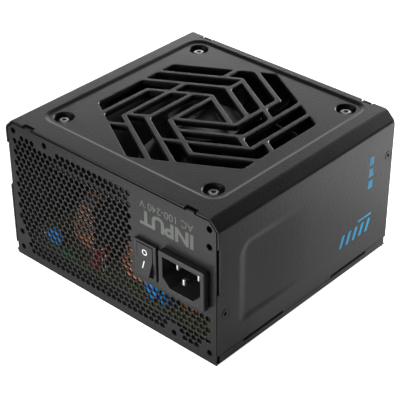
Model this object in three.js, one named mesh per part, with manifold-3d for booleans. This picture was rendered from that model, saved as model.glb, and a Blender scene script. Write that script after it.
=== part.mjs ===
// A desktop computer power supply: a folded steel cover and chassis, a 120 mm fan behind a pressed
// hexagonal grille, a mains inlet, a rocker switch, two circuit boards with their parts, and sockets
// for the output leads. Millimetres, +Z up. The origin is the centre of the case's base, the mains
// side faces -Y and the output sockets face +Y.
import * as THREE from 'three';
import { mergeVertices } from 'three/addons/utils/BufferGeometryUtils.js';
import Module from 'manifold-3d';

const wasm = await Module();
wasm.setup();

// ---- Driving dimensions -------------------------------------------------------------------------

// Case
const CASE_WIDTH = 150;
const CASE_DEPTH = 140;
const CASE_HEIGHT = 86;
const SHEET = 1;
const GAP = 0.3;
const RUNNING_GAP = 0.15;
const EDGE_CHAMFER = 5.4;
const BASE_BEND = 2;

// Cover
const COVER_FOOT = 6.9;
const TONGUE_FOOT = 5.4;
const TONGUE_LENGTH = 40;
const FLANGE_DIP_LENGTH = 102;
const FLANGE_SLIT = 1.5;
const RECESS_DEPTH = 1;
const RECESS_MARGIN = 2;
const RECESS_CORNER = 8;
const NOTCH_X = 57;
const NOTCH_WIDTH = 7.5;
const NOTCH_DEPTH = 2.4;
const TAB_WIDTH = 5;

// Pressed panel in each side of the cover
const EMBOSS_FROM_REAR = 14.4;
const EMBOSS_LENGTH = 55.6;
const EMBOSS_LOW = 17.7;
const EMBOSS_FROM_TOP = 19;
const EMBOSS_DEPTH = 2;
const EMBOSS_END_RAMP = 7;
const EMBOSS_EDGE_RAMP = 3;

// Fan
const FAN_SIZE = 120;
const FAN_HEIGHT = 25;
const FAN_Y = 4;
const FAN_CORNER = 6;
const FAN_WALL = 2;
const FAN_FLANGE = 4;
const FAN_SCREW_INSET = 7.5;
const BLADE_COUNT = 9;
const BLADE_TIP_GAP = 1.5;
const BLADE_THICKNESS = 1.4;
const BLADE_RISE = 15;
const BLADE_SWEEP = 34;
const BLADE_LEAN = 22;
const HUB_RADIUS = 20;
const HUB_WALL = 1.4;
const HUB_TOP_DROP = 0.9;
const MOTOR_BASE = 3;
const STRUT_WIDTH = 3.5;
const BEARING_TUBE_RADIUS = 4.5;
const BEARING_RADIUS = 3;
const SHAFT_RADIUS = 1.5;
const SHAFT_SEAT_RADIUS = 3.4;
const MAGNET_WALL = 2.6;
const STATOR_GAP = 1;
const STATOR_SLOT = 3;

// Grille: rings of bars along the sides of nested hexagons
const GRILLE_MARGIN = 7.35;
const GRILLE_CORE = 7.25;
const GRILLE_RINGS = 4;
const GRILLE_BAR = 3.2;
const GRILLE_DEPTH = 3;
const GRILLE_LIP = 1;

// Screws
const DIMPLE_RADIUS = 5.5;
const DIMPLE_FLOOR_RADIUS = 3.8;
const DIMPLE_DEPTH = 2.8;
const FAN_SCREW_HEAD = 2.9;
const FAN_SCREW_HEAD_HEIGHT = 1.1;
const FAN_SCREW_RADIUS = 1.9;
const FAN_SCREW_LENGTH = 12;
const CASE_SCREW_HEAD = 3.25;
const CASE_SCREW_HEAD_HEIGHT = 0.8;
const CASE_SCREW_RADIUS = 1.45;
const CASE_SCREW_LENGTH = 5;
const REAR_SCREW_FROM_REAR = 5;
const REAR_SCREW_Z = 30.7;
const FRONT_SCREW_FROM_FRONT = 3.8;
const FRONT_SCREW_FROM_TOP = 25;
const EAR_LENGTH = 9;
const EAR_HEIGHT = 13;
const DRIVE_SOCKET = 1.45;
const DRIVE_DEPTH = 0.6;

// Fixing holes of the mains panel, from the sides and from the base or the top
const PANEL_HOLE_RADIUS = 1.75;
const PANEL_HOLE_SIDE = 6;
const PANEL_HOLE_END = 6;
const PANEL_HOLE_RISE = 10;
const PANEL_HOLE_INSET = 24;
const PANEL_HOLE_DROP = 10;

// Vent pattern of the mains panel
const VENT_PITCH = 9.75;
const VENT_WIDTH = 7.7;
const VENT_BORDER = 6.3;
const VENT_TOP = 8.65;
const VENT_BOTTOM = 6;
const VENT_BLOCK_MARGIN = 5;
const VENT_HOLE_MARGIN = 7;

// Mains inlet
const INLET_FROM_SIDE = 21;
const INLET_Z = 44.9;
const INLET_FLANGE_WIDTH = 30;
const INLET_FLANGE_HEIGHT = 22.8;
const INLET_PROUD = 4;
const INLET_BODY_DEPTH = 20;
const INLET_MOUTH_WIDTH = 24.7;
const INLET_MOUTH_HEIGHT = 16.8;
const INLET_MOUTH_CHAMFER = 5;
const INLET_MOUTH_DEPTH = 18;
const INLET_WALL = 1.4;
const PIN_WIDTH = 2;
const PIN_HEIGHT = 4;
const PIN_SPREAD = 7;
const PIN_LIFT = 2.3;
const EARTH_PIN_DROP = 1.9;
const PIN_SET_BACK = 4.8;
const EARTH_PIN_SET_BACK = 1.7;
const PIN_TAIL = 2;

// Rocker switch
const SWITCH_TO_INLET = 25.9;
const SWITCH_Z = 44.2;
const BEZEL_WIDTH = 15;
const BEZEL_HEIGHT = 21;
const BEZEL_PROUD = 2.2;
const BEZEL_LAP = 0.8;
const ROCKER_WIDTH = 10.5;
const ROCKER_HALF_LENGTH = 8.2;
const ROCKER_FACE_OFFSET = 3.5;
const ROCKER_TILT = 10.5;
const ROCKER_ROOT = 4.5;
const ROCKER_ROOT_HALF = 3.5;
const ROCKER_STAND = 0.2;
const ROCKER_BOSS_RADIUS = 1.5;
const ROCKER_BOSS_LENGTH = 1;
const SWITCH_BODY_DEPTH = 17;
const TERMINAL_WIDTH = 0.8;
const TERMINAL_HEIGHT = 4.8;
const TERMINAL_SPREAD = 3.2;
const TERMINAL_LENGTH = 12;
const TERMINAL_TAIL = 8;

// Boards
const BOARD_UNDERSIDE = 9.4;
const BOARD_THICKNESS = 1.6;
const BOARD_SIDE_MARGIN = 5;
const BOARD_REAR_MARGIN = 4;
const BOARD_FRONT_MARGIN = 14;
const INSULATOR_THICKNESS = 0.5;
const PILLAR_RADIUS = 3;
const PILLAR_FROM_BOARD_SIDE = 7;
const PILLAR_FROM_BOARD_REAR = 9;
const PILLAR_FROM_BOARD_FRONT = 7;
const BOARD_SCREW_RADIUS = 1.4;
const BOARD_SCREW_HEAD = 2.8;
const BOARD_SCREW_HEAD_HEIGHT = 1.8;
const BOARD_SCREW_LENGTH = 6;
const SOCKET_BOARD_WIDTH = 126;
const SOCKET_BOARD_HEIGHT = 42;

// Output sockets: columns of contacts in two rows
const CONTACT_PITCH = 4.2;
const SOCKET_WALL = 1.2;
const SOCKET_DEPTH = 10.4;
const SOCKET_PROUD = 0.8;
const SOCKET_FLOOR = 2;
const SOCKET_SPACE = 3;
const UPPER_ROW_Z = 43;
const LOWER_ROW_Z = 24;

// Parts on the main board
const PART_STAND = 0.3;
const BOOST_CHOKE = { radius: 19, bore: 7, width: 18, x: -28, fromRear: 26 };
const LINE_CHOKE = { radius: 14.5, bore: 6, width: 14, x: 8, fromRear: 20.5 };
const INLET_CHOKE = { radius: 13, bore: 5.5, width: 12, fromInlet: -7, fromRear: 23 };
const DISC_CAP = { radius: 5.5, thickness: 4 };
const BULK_CAP = { radius: 15, height: 40, x: -50, y: -12 };
const OUTPUT_CAP = { radius: 5, height: 21, firstX: 0, pitch: 14, count: 3, y: 43 };
const FILM_CAP = { width: 12, length: 26, height: 20, fromInlet: -29, fromRear: 29 };
const MAIN_TRANSFORMER = { width: 38, length: 36, height: 34, x: 14, y: 6 };
const STANDBY_TRANSFORMER = { width: 14, length: 18, height: 19, x: 60, y: 4 };
const HEATSINK = { plate: 3, fin: 1.6, finLength: 11, finPitch: 8, finCount: 7, height: 40 };
const PRIMARY_SINK = { x: -27, y: 12 };
const SECONDARY_SINK = { x: 39, y: 12 };

// Leads
const LEAD_RADIUS = 1.3;
const FAN_LEAD_RADIUS = 1;
const LEAD_STEPS = 14;
const LEAD_SIDES = 8;

// ---- Values that follow from the driving dimensions --------------------------------------------

const SIDE_X = CASE_WIDTH / 2;
const REAR_Y = -CASE_DEPTH / 2;
const FRONT_Y = CASE_DEPTH / 2;
const RECESS_Z = CASE_HEIGHT - RECESS_DEPTH;
const FAN_BORE_RADIUS = FAN_SIZE / 2 - FAN_WALL;
const FAN_TOP = RECESS_Z - DIMPLE_DEPTH - SHEET - GAP;
const FAN_BOTTOM = FAN_TOP - FAN_HEIGHT;
const BOARD_TOP = BOARD_UNDERSIDE + BOARD_THICKNESS;
const PART_FOOT = BOARD_TOP + PART_STAND;
const BOARD_HALF_WIDTH = SIDE_X - BOARD_SIDE_MARGIN;
const BOARD_REAR = REAR_Y + BOARD_REAR_MARGIN;
const BOARD_FRONT = FRONT_Y - BOARD_FRONT_MARGIN;
const INLET_X = SIDE_X - INLET_FROM_SIDE;
const SWITCH_X = INLET_X - SWITCH_TO_INLET;
const SOCKET_BACK = FRONT_Y + SOCKET_PROUD - SOCKET_DEPTH;
const COVER_INNER_X = SIDE_X - SHEET;
const PIN_BACK = REAR_Y + INLET_BODY_DEPTH + PIN_TAIL;
const TERMINAL_BACK = REAR_Y + SWITCH_BODY_DEPTH + TERMINAL_TAIL;

// ---- Solids --------------------------------------------------------------------------------------

const MERGE_DISTANCE = 1e-4;
const PAST = 1;

// Drops triangles whose corners have merged, and turns the faces outwards.
function cleanTriangles(position, index) {
  const corner = (i) => new THREE.Vector3().fromBufferAttribute(position, i);
  const kept = [];
  let volume = 0;
  for (let i = 0; i < index.count; i += 3) {
    const [a, b, c] = [index.getX(i), index.getX(i + 1), index.getX(i + 2)];
    if (a !== b && b !== c && c !== a) {
      kept.push(a, b, c);
      volume += corner(a).dot(corner(b).cross(corner(c)));
    }
  }
  return volume < 0 ? kept.reverse() : kept;
}

function solidOf(geometry) {
  const bare = new THREE.BufferGeometry();
  bare.setAttribute('position', geometry.getAttribute('position'));
  bare.setIndex(geometry.getIndex());
  const merged = mergeVertices(bare, MERGE_DISTANCE);
  const position = merged.getAttribute('position');
  const triVerts = new Uint32Array(cleanTriangles(position, merged.getIndex()));
  const vertProperties = new Float32Array(position.array);
  return new wasm.Manifold(new wasm.Mesh({ numProp: 3, vertProperties, triVerts }));
}

function geometryOf(solid) {
  const mesh = solid.getMesh();
  const geometry = new THREE.BufferGeometry();
  geometry.setAttribute('position', new THREE.BufferAttribute(mesh.vertProperties, 3));
  geometry.setIndex(new THREE.BufferAttribute(mesh.triVerts, 1));
  return geometry;
}

function joined(solids) {
  return solids.reduce((whole, piece) => whole.add(piece));
}

function cut(body, tools) {
  return tools.reduce((left, tool) => left.subtract(tool), body);
}

// A flat outline [[a, b], ...] stands across an axis: z takes (x, y), y takes (x, z), x takes (y, z).
function standing(outline, axis, at) {
  const places = {
    x: ([a, b]) => new THREE.Vector3(at, a, b),
    y: ([a, b]) => new THREE.Vector3(a, at, b),
    z: ([a, b]) => new THREE.Vector3(a, b, at),
  };
  return outline.map(places[axis]);
}

// Joins two convex loops of as many points with flat sides and closes both ends.
function loft(first, second) {
  const count = first.length;
  const corners = [...first, ...second];
  const faces = [];
  for (let i = 0; i < count; i += 1) {
    const next = (i + 1) % count;
    faces.push([i, next, count + next], [i, count + next, count + i]);
  }
  for (let i = 1; i < count - 1; i += 1) {
    faces.push([0, i + 1, i], [count, count + i, count + i + 1]);
  }
  const geometry = new THREE.BufferGeometry();
  geometry.setFromPoints(faces.flat().map((i) => corners[i]));
  return solidOf(geometry);
}

function taper(axis, outlineA, atA, outlineB, atB) {
  return loft(standing(outlineA, axis, atA), standing(outlineB, axis, atB));
}

function bar(axis, outline, from, to) {
  return taper(axis, outline, from, outline, to);
}

function box(x0, x1, y0, y1, z0, z1) {
  return bar('z', [[x0, y0], [x1, y0], [x1, y1], [x0, y1]], z0, z1);
}

function circle(radius, sides, a = 0, b = 0) {
  const points = [];
  for (let i = 0; i < sides; i += 1) {
    const turn = (2 * Math.PI * (i + 0.5)) / sides;
    points.push([a + radius * Math.cos(turn), b + radius * Math.sin(turn)]);
  }
  return points;
}

function rectangle(a, b, width, height) {
  return [
    [a - width / 2, b - height / 2],
    [a + width / 2, b - height / 2],
    [a + width / 2, b + height / 2],
    [a - width / 2, b + height / 2],
  ];
}

function roundedRectangle(a, b, width, height, radius, steps) {
  const points = [];
  const signs = [[1, 1], [-1, 1], [-1, -1], [1, -1]];
  signs.forEach(([sa, sb], quarter) => {
    for (let i = 0; i <= steps; i += 1) {
      const turn = (Math.PI / 2) * (quarter + i / steps);
      const centreA = a + sa * (width / 2 - radius);
      const centreB = b + sb * (height / 2 - radius);
      points.push([centreA + radius * Math.cos(turn), centreB + radius * Math.sin(turn)]);
    }
  });
  return points;
}

// ---- Scene ---------------------------------------------------------------------------------------

const supply = new THREE.Group();

function add(name, solid, look) {
  const mesh = new THREE.Mesh(geometryOf(solid), new THREE.MeshStandardMaterial(look));
  mesh.name = name;
  supply.add(mesh);
}

const BLACK_COAT = { color: 0x2c2c2e, roughness: 0.5, metalness: 0.3 };
const BLACK_PLASTIC = { color: 0x161617, roughness: 0.55, metalness: 0 };
const GREY_PLASTIC = { color: 0x2b2b2e, roughness: 0.45, metalness: 0 };
const STEEL = { color: 0xa9a9ac, roughness: 0.3, metalness: 1 };
const BLACK_STEEL = { color: 0x2a2a2c, roughness: 0.4, metalness: 0.8 };
const PLATED = { color: 0xc9c9cc, roughness: 0.2, metalness: 1 };
const COPPER = { color: 0xb0562f, roughness: 0.3, metalness: 1 };
const BRONZE = { color: 0x9c7440, roughness: 0.4, metalness: 1 };
const ALUMINIUM = { color: 0xa4a6a8, roughness: 0.4, metalness: 1 };
const BOARD_GREEN = { color: 0x6d6a3c, roughness: 0.5, metalness: 0 };
const FILM = { color: 0x35363a, roughness: 0.6, metalness: 0 };
const BLUE_ENAMEL = { color: 0x1d6fd0, roughness: 0.35, metalness: 0 };
const YELLOW_TAPE = { color: 0xc9a531, roughness: 0.5, metalness: 0 };
const FERRITE = { color: 0x3a3a3c, roughness: 0.6, metalness: 0.2 };
const SLEEVE = { color: 0x1c1c22, roughness: 0.35, metalness: 0 };
const BROWN_LEAD = { color: 0x4d2a18, roughness: 0.45, metalness: 0 };
const BLUE_LEAD = { color: 0x1d3f8a, roughness: 0.45, metalness: 0 };
const GREEN_LEAD = { color: 0x3c7a33, roughness: 0.45, metalness: 0 };
const BLACK_LEAD = { color: 0x1a1a1c, roughness: 0.45, metalness: 0 };

// ---- Cover ---------------------------------------------------------------------------------------

const MITRE = Math.tan(Math.PI / 8);

// The case seen along Y, drawn in by the given distance, with chamfered upper edges.
function caseOutline(inset, low) {
  const side = SIDE_X - inset;
  const chamferZ = CASE_HEIGHT - EDGE_CHAMFER - inset * MITRE;
  const chamferX = SIDE_X - EDGE_CHAMFER - inset * MITRE;
  const top = CASE_HEIGHT - inset;
  return [[-side, low], [side, low], [side, chamferZ], [chamferX, top], [-chamferX, top], [-side, chamferZ]];
}

function recessOutline(margin) {
  const size = FAN_SIZE + 2 * margin;
  return roundedRectangle(0, FAN_Y, size, size, RECESS_CORNER, 5);
}

// The square recess round the fan, as a solid whose floor is at the given height.
function recessSolid(floor, top) {
  const slope = RECESS_MARGIN / 2 / RECESS_DEPTH;
  const rise = RECESS_MARGIN / 2 + (top - floor) * slope;
  return taper('z', recessOutline(RECESS_MARGIN / 2), floor, recessOutline(rise), top);
}

function dimple(x, y, offset, top) {
  const slope = (DIMPLE_RADIUS - DIMPLE_FLOOR_RADIUS) / DIMPLE_DEPTH;
  const floor = RECESS_Z - DIMPLE_DEPTH - offset;
  const floorRing = circle(DIMPLE_FLOOR_RADIUS + offset, 18, x, y);
  const topRing = circle(DIMPLE_FLOOR_RADIUS + offset + (top - floor) * slope, 18, x, y);
  return taper('z', floorRing, floor, topRing, top);
}

function fanScrewPlaces() {
  const half = FAN_SIZE / 2 - FAN_SCREW_INSET;
  const pair = [-half, half];
  return pair.flatMap((x) => pair.map((y) => [x, FAN_Y + y]));
}

// Distances of the bars' outer and inner edges from the grille's centre, ring by ring.
function ringOuter(ring) {
  const pitch = (FAN_BORE_RADIUS - GRILLE_MARGIN - GRILLE_CORE) / GRILLE_RINGS;
  return GRILLE_CORE + pitch * ring;
}

function ringInner(ring) {
  return ringOuter(ring - 1) + GRILLE_BAR;
}

// Where two grille lines cross: each line is square to its angle, at its distance from the centre.
function crossing([angleA, reachA], [angleB, reachB]) {
  const a = THREE.MathUtils.degToRad(angleA);
  const b = THREE.MathUtils.degToRad(angleB);
  const spread = Math.sin(b - a);
  const x = (reachA * Math.sin(b) - reachB * Math.sin(a)) / spread;
  const y = (reachB * Math.cos(a) - reachA * Math.cos(b)) / spread;
  return [x, FAN_Y + y];
}

// Each slot is walked line by line; two lines in a row meet at one corner.
function slotPatterns() {
  const R = [0, 1, 2, 3, 4].map(ringOuter);
  const r = [0, 1, 2, 3, 4].map(ringInner);
  return [
    [[120, R[4]], [180, R[4]], [120, r[4]], [180, r[2]]],
    [[120, R[3]], [180, R[4]], [120, r[3]], [180, r[1]]],
    [[180, r[3]], [120, R[2]], [180, R[4]], [240, R[4]], [180, r[4]], [120, r[2]]],
    [[120, R[1]], [180, R[3]], [240, R[4]], [300, R[1]], [240, r[4]], [180, r[3]]],
    [[180, R[2]], [120, R[1]], [180, r[2]], [300, R[0]]],
    [[180, R[2]], [120, R[2]], [60, R[1]], [0, R[1]], [60, r[1]], [120, r[2]]],
  ];
}

function slotOutline(lines, turn) {
  const turned = lines.map(([angle, reach]) => [angle + turn, reach]);
  return turned.map((line, i) => crossing(line, turned[(i + 1) % turned.length]));
}

function extruded(outline, low, high) {
  const shape = new THREE.Shape(outline.map(([x, y]) => new THREE.Vector2(x, y)));
  const geometry = new THREE.ExtrudeGeometry(shape, { depth: high - low, bevelEnabled: false });
  geometry.translate(0, 0, low);
  return solidOf(geometry);
}

function grilleSlots() {
  const low = RECESS_Z - GRILLE_DEPTH - PAST;
  const high = RECESS_Z + PAST;
  const core = [[180, ringOuter(0)], [60, ringOuter(0)], [300, ringOuter(0)]];
  const slots = [extruded(slotOutline(core, 0), low, high)];
  for (const turn of [0, -120, 120]) {
    for (const lines of slotPatterns()) {
      slots.push(extruded(slotOutline(lines, turn), low, high));
    }
  }
  return slots;
}

function grilleSlab() {
  const reach = ringOuter(GRILLE_RINGS) + GRILLE_LIP;
  const sides = [0, 60, 120, 180, 240, 300].map((angle) => [angle, reach]);
  return extruded(slotOutline(sides, 0), RECESS_Z - GRILLE_DEPTH, RECESS_Z - SHEET / 2);
}

// A shallow wedge pressed into a side: deep at the rear, level with the side at its front end.
function embossSolid(side, inset) {
  const rear = REAR_Y + EMBOSS_FROM_REAR;
  const front = rear + EMBOSS_LENGTH;
  const top = CASE_HEIGHT - EMBOSS_FROM_TOP;
  const deepY = rear + EMBOSS_END_RAMP;
  const slope = EMBOSS_DEPTH / (front - deepY);
  const depthAt = (y) => Math.max(EMBOSS_DEPTH - slope * (y - deepY), -PAST);
  const far = front + PAST / slope;
  const spreadEnd = EMBOSS_END_RAMP * (PAST / EMBOSS_DEPTH);
  const spreadEdge = EMBOSS_EDGE_RAMP * (PAST / EMBOSS_DEPTH);
  const floor = [
    [deepY, EMBOSS_LOW + EMBOSS_EDGE_RAMP],
    [far, EMBOSS_LOW],
    [far, top],
    [deepY, top - EMBOSS_EDGE_RAMP],
  ];
  const rim = [
    [rear - spreadEnd, EMBOSS_LOW - spreadEdge],
    [far + PAST, EMBOSS_LOW - spreadEdge],
    [far + PAST, top + spreadEdge],
    [rear - spreadEnd, top + spreadEdge],
  ];
  const floorLoop = floor.map(([y, z]) => new THREE.Vector3(side * (SIDE_X - inset - depthAt(y)), y, z));
  const rimLoop = rim.map(([y, z]) => new THREE.Vector3(side * (SIDE_X - inset + PAST), y, z));
  return loft(floorLoop, rimLoop);
}

function innerSide(side) {
  const from = side * (COVER_INNER_X + SHEET / 2);
  return box(Math.min(from, 0), Math.max(from, 0), REAR_Y, FRONT_Y, COVER_FOOT, CASE_HEIGHT);
}

function caseScrewPlaces() {
  return [
    [REAR_Y + REAR_SCREW_FROM_REAR, REAR_SCREW_Z],
    [FRONT_Y - FRONT_SCREW_FROM_FRONT, CASE_HEIGHT - FRONT_SCREW_FROM_TOP],
  ];
}

function caseScrewSeat(side, y, z) {
  const head = CASE_SCREW_HEAD + GAP;
  const neck = CASE_SCREW_RADIUS + GAP;
  const seat = SIDE_X - CASE_SCREW_HEAD_HEIGHT;
  const cone = taper('x', circle(head, 14, y, z), side * SIDE_X, circle(neck, 14, y, z), side * seat);
  const mouth = bar('x', circle(head, 14, y, z), side * SIDE_X, side * (SIDE_X + PAST));
  const bore = bar('x', circle(neck, 14, y, z), side * (seat + SHEET / 10), side * (COVER_INNER_X - PAST));
  return [cone, mouth, bore];
}

function coverNotch(x, edge) {
  const depth = Math.sign(edge) * NOTCH_DEPTH;
  const ends = [edge - depth, edge + Math.sign(edge) * PAST].sort((a, b) => a - b);
  const low = CASE_HEIGHT - SHEET - PAST;
  return box(x - NOTCH_WIDTH / 2, x + NOTCH_WIDTH / 2, ends[0], ends[1], low, CASE_HEIGHT + PAST);
}

function tongue(side) {
  const xs = [side * COVER_INNER_X, side * SIDE_X].sort((a, b) => a - b);
  return box(xs[0], xs[1], -TONGUE_LENGTH / 2, TONGUE_LENGTH / 2, TONGUE_FOOT, COVER_FOOT + PAST);
}

function makeCover() {
  const folded = bar('y', caseOutline(0, COVER_FOOT), REAR_Y, FRONT_Y);
  const hollow = bar('y', caseOutline(SHEET, COVER_FOOT - PAST), REAR_Y - PAST, FRONT_Y + PAST);
  const sides = [-1, 1];
  const places = fanScrewPlaces();
  const pressed = [
    recessSolid(RECESS_Z - SHEET, CASE_HEIGHT - SHEET / 2),
    grilleSlab(),
    ...places.map(([x, y]) => dimple(x, y, SHEET, RECESS_Z - SHEET / 2)),
    ...sides.map((side) => embossSolid(side, SHEET).intersect(innerSide(side))),
    ...sides.map(tongue),
  ];
  const screwBores = places.map(([x, y]) => circle(FAN_SCREW_RADIUS + GAP, 14, x, y));
  const tools = [
    recessSolid(RECESS_Z, CASE_HEIGHT + PAST),
    ...grilleSlots(),
    ...places.map(([x, y]) => dimple(x, y, 0, RECESS_Z + PAST)),
    ...screwBores.map((ring) => bar('z', ring, FAN_TOP, RECESS_Z)),
    ...sides.map((side) => embossSolid(side, 0)),
    ...sides.flatMap((side) => caseScrewPlaces().flatMap(([y, z]) => caseScrewSeat(side, y, z))),
    ...sides.flatMap((side) => [REAR_Y, FRONT_Y].map((edge) => coverNotch(side * NOTCH_X, edge))),
  ];
  return cut(joined([folded.subtract(hollow), ...pressed]), tools);
}

add('cover', makeCover(), BLACK_COAT);

// ---- Chassis -------------------------------------------------------------------------------------

// The tray seen along Y: base and side flanges with a bend between them.
function trayOutline(inset, low, top) {
  const side = SIDE_X - inset;
  const bend = BASE_BEND + inset * MITRE;
  const foot = SIDE_X - bend;
  return [[-foot, low], [foot, low], [side, bend], [side, top], [-side, top], [-side, bend]];
}

function makeTray() {
  const flangeTop = COVER_FOOT - GAP;
  const tray = bar('y', trayOutline(0, 0, flangeTop), REAR_Y, FRONT_Y);
  const hollow = bar('y', trayOutline(SHEET, SHEET, flangeTop + PAST), REAR_Y - PAST, FRONT_Y + PAST);
  const dipHalf = FLANGE_DIP_LENGTH / 2;
  const dip = box(-SIDE_X - PAST, SIDE_X + PAST, -dipHalf, dipHalf, TONGUE_FOOT - GAP, CASE_HEIGHT);
  const slits = [REAR_Y, FRONT_Y].map((edge) => {
    const ys = [edge + Math.sign(edge) * PAST, edge - Math.sign(edge) * FLANGE_SLIT].sort((a, b) => a - b);
    return box(-SIDE_X - PAST, SIDE_X + PAST, ys[0], ys[1], BASE_BEND, CASE_HEIGHT);
  });
  return cut(tray, [hollow, dip, ...slits]);
}

function wallTab(x, inner, outer) {
  const low = CASE_HEIGHT - EDGE_CHAMFER;
  return box(x - TAB_WIDTH / 2, x + TAB_WIDTH / 2, inner, outer, low, CASE_HEIGHT - GAP);
}

function makeWall(edge) {
  const ys = [edge, edge - Math.sign(edge) * SHEET].sort((a, b) => a - b);
  const wall = bar('y', caseOutline(SHEET + GAP, 0), ys[0], ys[1]);
  return joined([wall, ...[-NOTCH_X, NOTCH_X].map((x) => wallTab(x, ys[0], ys[1]))]);
}

// An ear is folded back from a wall behind the cover and takes a case screw.
function ear(side, y, z, edge) {
  const outer = COVER_INNER_X - GAP;
  const xs = [side * outer, side * (outer - SHEET)].sort((a, b) => a - b);
  const ys = [edge, edge - Math.sign(edge) * (SHEET + EAR_LENGTH)].sort((a, b) => a - b);
  const plate = box(xs[0], xs[1], ys[0], ys[1], z - EAR_HEIGHT / 2, z + EAR_HEIGHT / 2);
  const hole = circle(CASE_SCREW_RADIUS + GAP, 14, y, z);
  return { plate, hole: bar('x', hole, xs[0] - PAST, xs[1] + PAST) };
}

function panelHolePlaces() {
  const side = SIDE_X - PANEL_HOLE_SIDE;
  const top = CASE_HEIGHT - PANEL_HOLE_END;
  return [
    [-side, top],
    [side, top],
    [-side, PANEL_HOLE_END + PANEL_HOLE_RISE],
    [side - PANEL_HOLE_INSET, PANEL_HOLE_END],
    [side, PANEL_HOLE_END],
    [-side, PANEL_HOLE_END],
    [side, top - PANEL_HOLE_DROP],
    [PANEL_HOLE_INSET - side, top],
  ];
}

// A vent is left out where it would meet a fixing hole, the switch or the inlet.
function ventFits(x, z) {
  const beside = x > SWITCH_X - BEZEL_WIDTH / 2 - VENT_BLOCK_MARGIN;
  const above = z > INLET_Z - INLET_FLANGE_HEIGHT / 2 - VENT_BLOCK_MARGIN;
  const nearHole = panelHolePlaces().some(([hx, hz]) => Math.hypot(x - hx, z - hz) < VENT_HOLE_MARGIN);
  return !(beside && above) && !nearHole;
}

function ventPlaces() {
  const rowStep = VENT_PITCH * Math.cos(Math.PI / 6);
  const places = [];
  for (let row = 0; CASE_HEIGHT - VENT_TOP - row * rowStep > VENT_BOTTOM; row += 1) {
    const z = CASE_HEIGHT - VENT_TOP - row * rowStep;
    const reach = SIDE_X - VENT_BORDER;
    for (let x = -reach + (row % 2) * (VENT_PITCH / 2); x <= reach; x += VENT_PITCH) {
      places.push([x, z]);
    }
  }
  return places.filter(([x, z]) => ventFits(x, z));
}

function hexagon(x, z, width) {
  const radius = width / 2 / Math.cos(Math.PI / 6);
  return [0, 1, 2, 3, 4, 5].map((i) => {
    const turn = Math.PI / 6 + (Math.PI / 3) * i;
    return [x + radius * Math.cos(turn), z + radius * Math.sin(turn)];
  });
}

function rearCuts() {
  const through = (outline) => bar('y', outline, REAR_Y - PAST, REAR_Y + SHEET + PAST);
  const inletWidth = INLET_MOUTH_WIDTH + 2 * (INLET_WALL + GAP);
  const inletHeight = INLET_MOUTH_HEIGHT + 2 * (INLET_WALL + GAP);
  return [
    through(rectangle(INLET_X, INLET_Z, inletWidth, inletHeight)),
    through(rectangle(SWITCH_X, SWITCH_Z, BEZEL_WIDTH - BEZEL_LAP + GAP, BEZEL_HEIGHT - BEZEL_LAP + GAP)),
    ...panelHolePlaces().map(([x, z]) => through(circle(PANEL_HOLE_RADIUS, 10, x, z))),
    ...ventPlaces().map(([x, z]) => through(hexagon(x, z, VENT_WIDTH))),
  ];
}

function pillarPlaces() {
  const x = BOARD_HALF_WIDTH - PILLAR_FROM_BOARD_SIDE;
  const rear = BOARD_REAR + PILLAR_FROM_BOARD_REAR;
  const front = BOARD_FRONT - PILLAR_FROM_BOARD_FRONT;
  return [[-x, rear], [x, rear], [-x, front], [x, front]];
}

function pillar(x, y) {
  const post = bar('z', circle(PILLAR_RADIUS, 12, x, y), SHEET / 2, BOARD_UNDERSIDE - GAP);
  const depth = BOARD_TOP + PART_STAND - BOARD_SCREW_LENGTH - GAP;
  const bore = bar('z', circle(BOARD_SCREW_RADIUS + GAP, 12, x, y), depth, BOARD_UNDERSIDE + PAST);
  return { post, bore };
}

function makeChassis() {
  const walls = [REAR_Y, FRONT_Y];
  const ears = [-1, 1].flatMap((side) => caseScrewPlaces().map(([y, z], i) => ear(side, y, z, walls[i])));
  const pillars = pillarPlaces().map(([x, y]) => pillar(x, y));
  const folded = [makeTray(), makeWall(REAR_Y), makeWall(FRONT_Y)];
  const body = joined([...folded, ...ears.map((each) => each.plate), ...pillars.map((each) => each.post)]);
  const holes = [...ears.map((each) => each.hole), ...pillars.map((each) => each.bore)];
  return cut(body, [...holes, ...rearCuts(), ...socketCuts()]);
}

// ---- Output sockets ------------------------------------------------------------------------------

const UPPER_SOCKETS = [
  ['socket_board_18', 9],
  ['socket_board_10', 5],
  ['socket_cpu_1', 4],
  ['socket_cpu_2', 4],
];
const LOWER_SOCKETS = [
  ['socket_graphics_12', 6],
  ['socket_pcie_1', 4],
  ['socket_pcie_2', 4],
  ['socket_drive', 3],
];

function socketWidth(columns) {
  return columns * CONTACT_PITCH + 2 * SOCKET_WALL;
}

function socketHeight() {
  return 2 * CONTACT_PITCH + 2 * SOCKET_WALL;
}

function socketRow(sockets, z) {
  const steps = sockets.map(([, columns]) => socketWidth(columns) + SOCKET_SPACE);
  const total = steps.reduce((sum, step) => sum + step, -SOCKET_SPACE);
  let left = -total / 2;
  return sockets.map(([name, columns]) => {
    const width = socketWidth(columns);
    const x = left + width / 2;
    left += width + SOCKET_SPACE;
    return { name, x, z, width };
  });
}

function allSockets() {
  return [...socketRow(UPPER_SOCKETS, UPPER_ROW_Z), ...socketRow(LOWER_SOCKETS, LOWER_ROW_Z)];
}

function socketCuts() {
  return allSockets().map(({ x, z, width }) => {
    const outline = rectangle(x, z, width + 2 * GAP, socketHeight() + 2 * GAP);
    return bar('y', outline, FRONT_Y - SHEET - PAST, FRONT_Y + PAST);
  });
}

function makeSocket({ x, z, width }) {
  const front = FRONT_Y + SOCKET_PROUD;
  const shell = bar('y', rectangle(x, z, width, socketHeight()), SOCKET_BACK, front);
  const mouth = rectangle(x, z, width - 2 * SOCKET_WALL, socketHeight() - 2 * SOCKET_WALL);
  return shell.subtract(bar('y', mouth, SOCKET_BACK + SOCKET_FLOOR, front + PAST));
}

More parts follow.
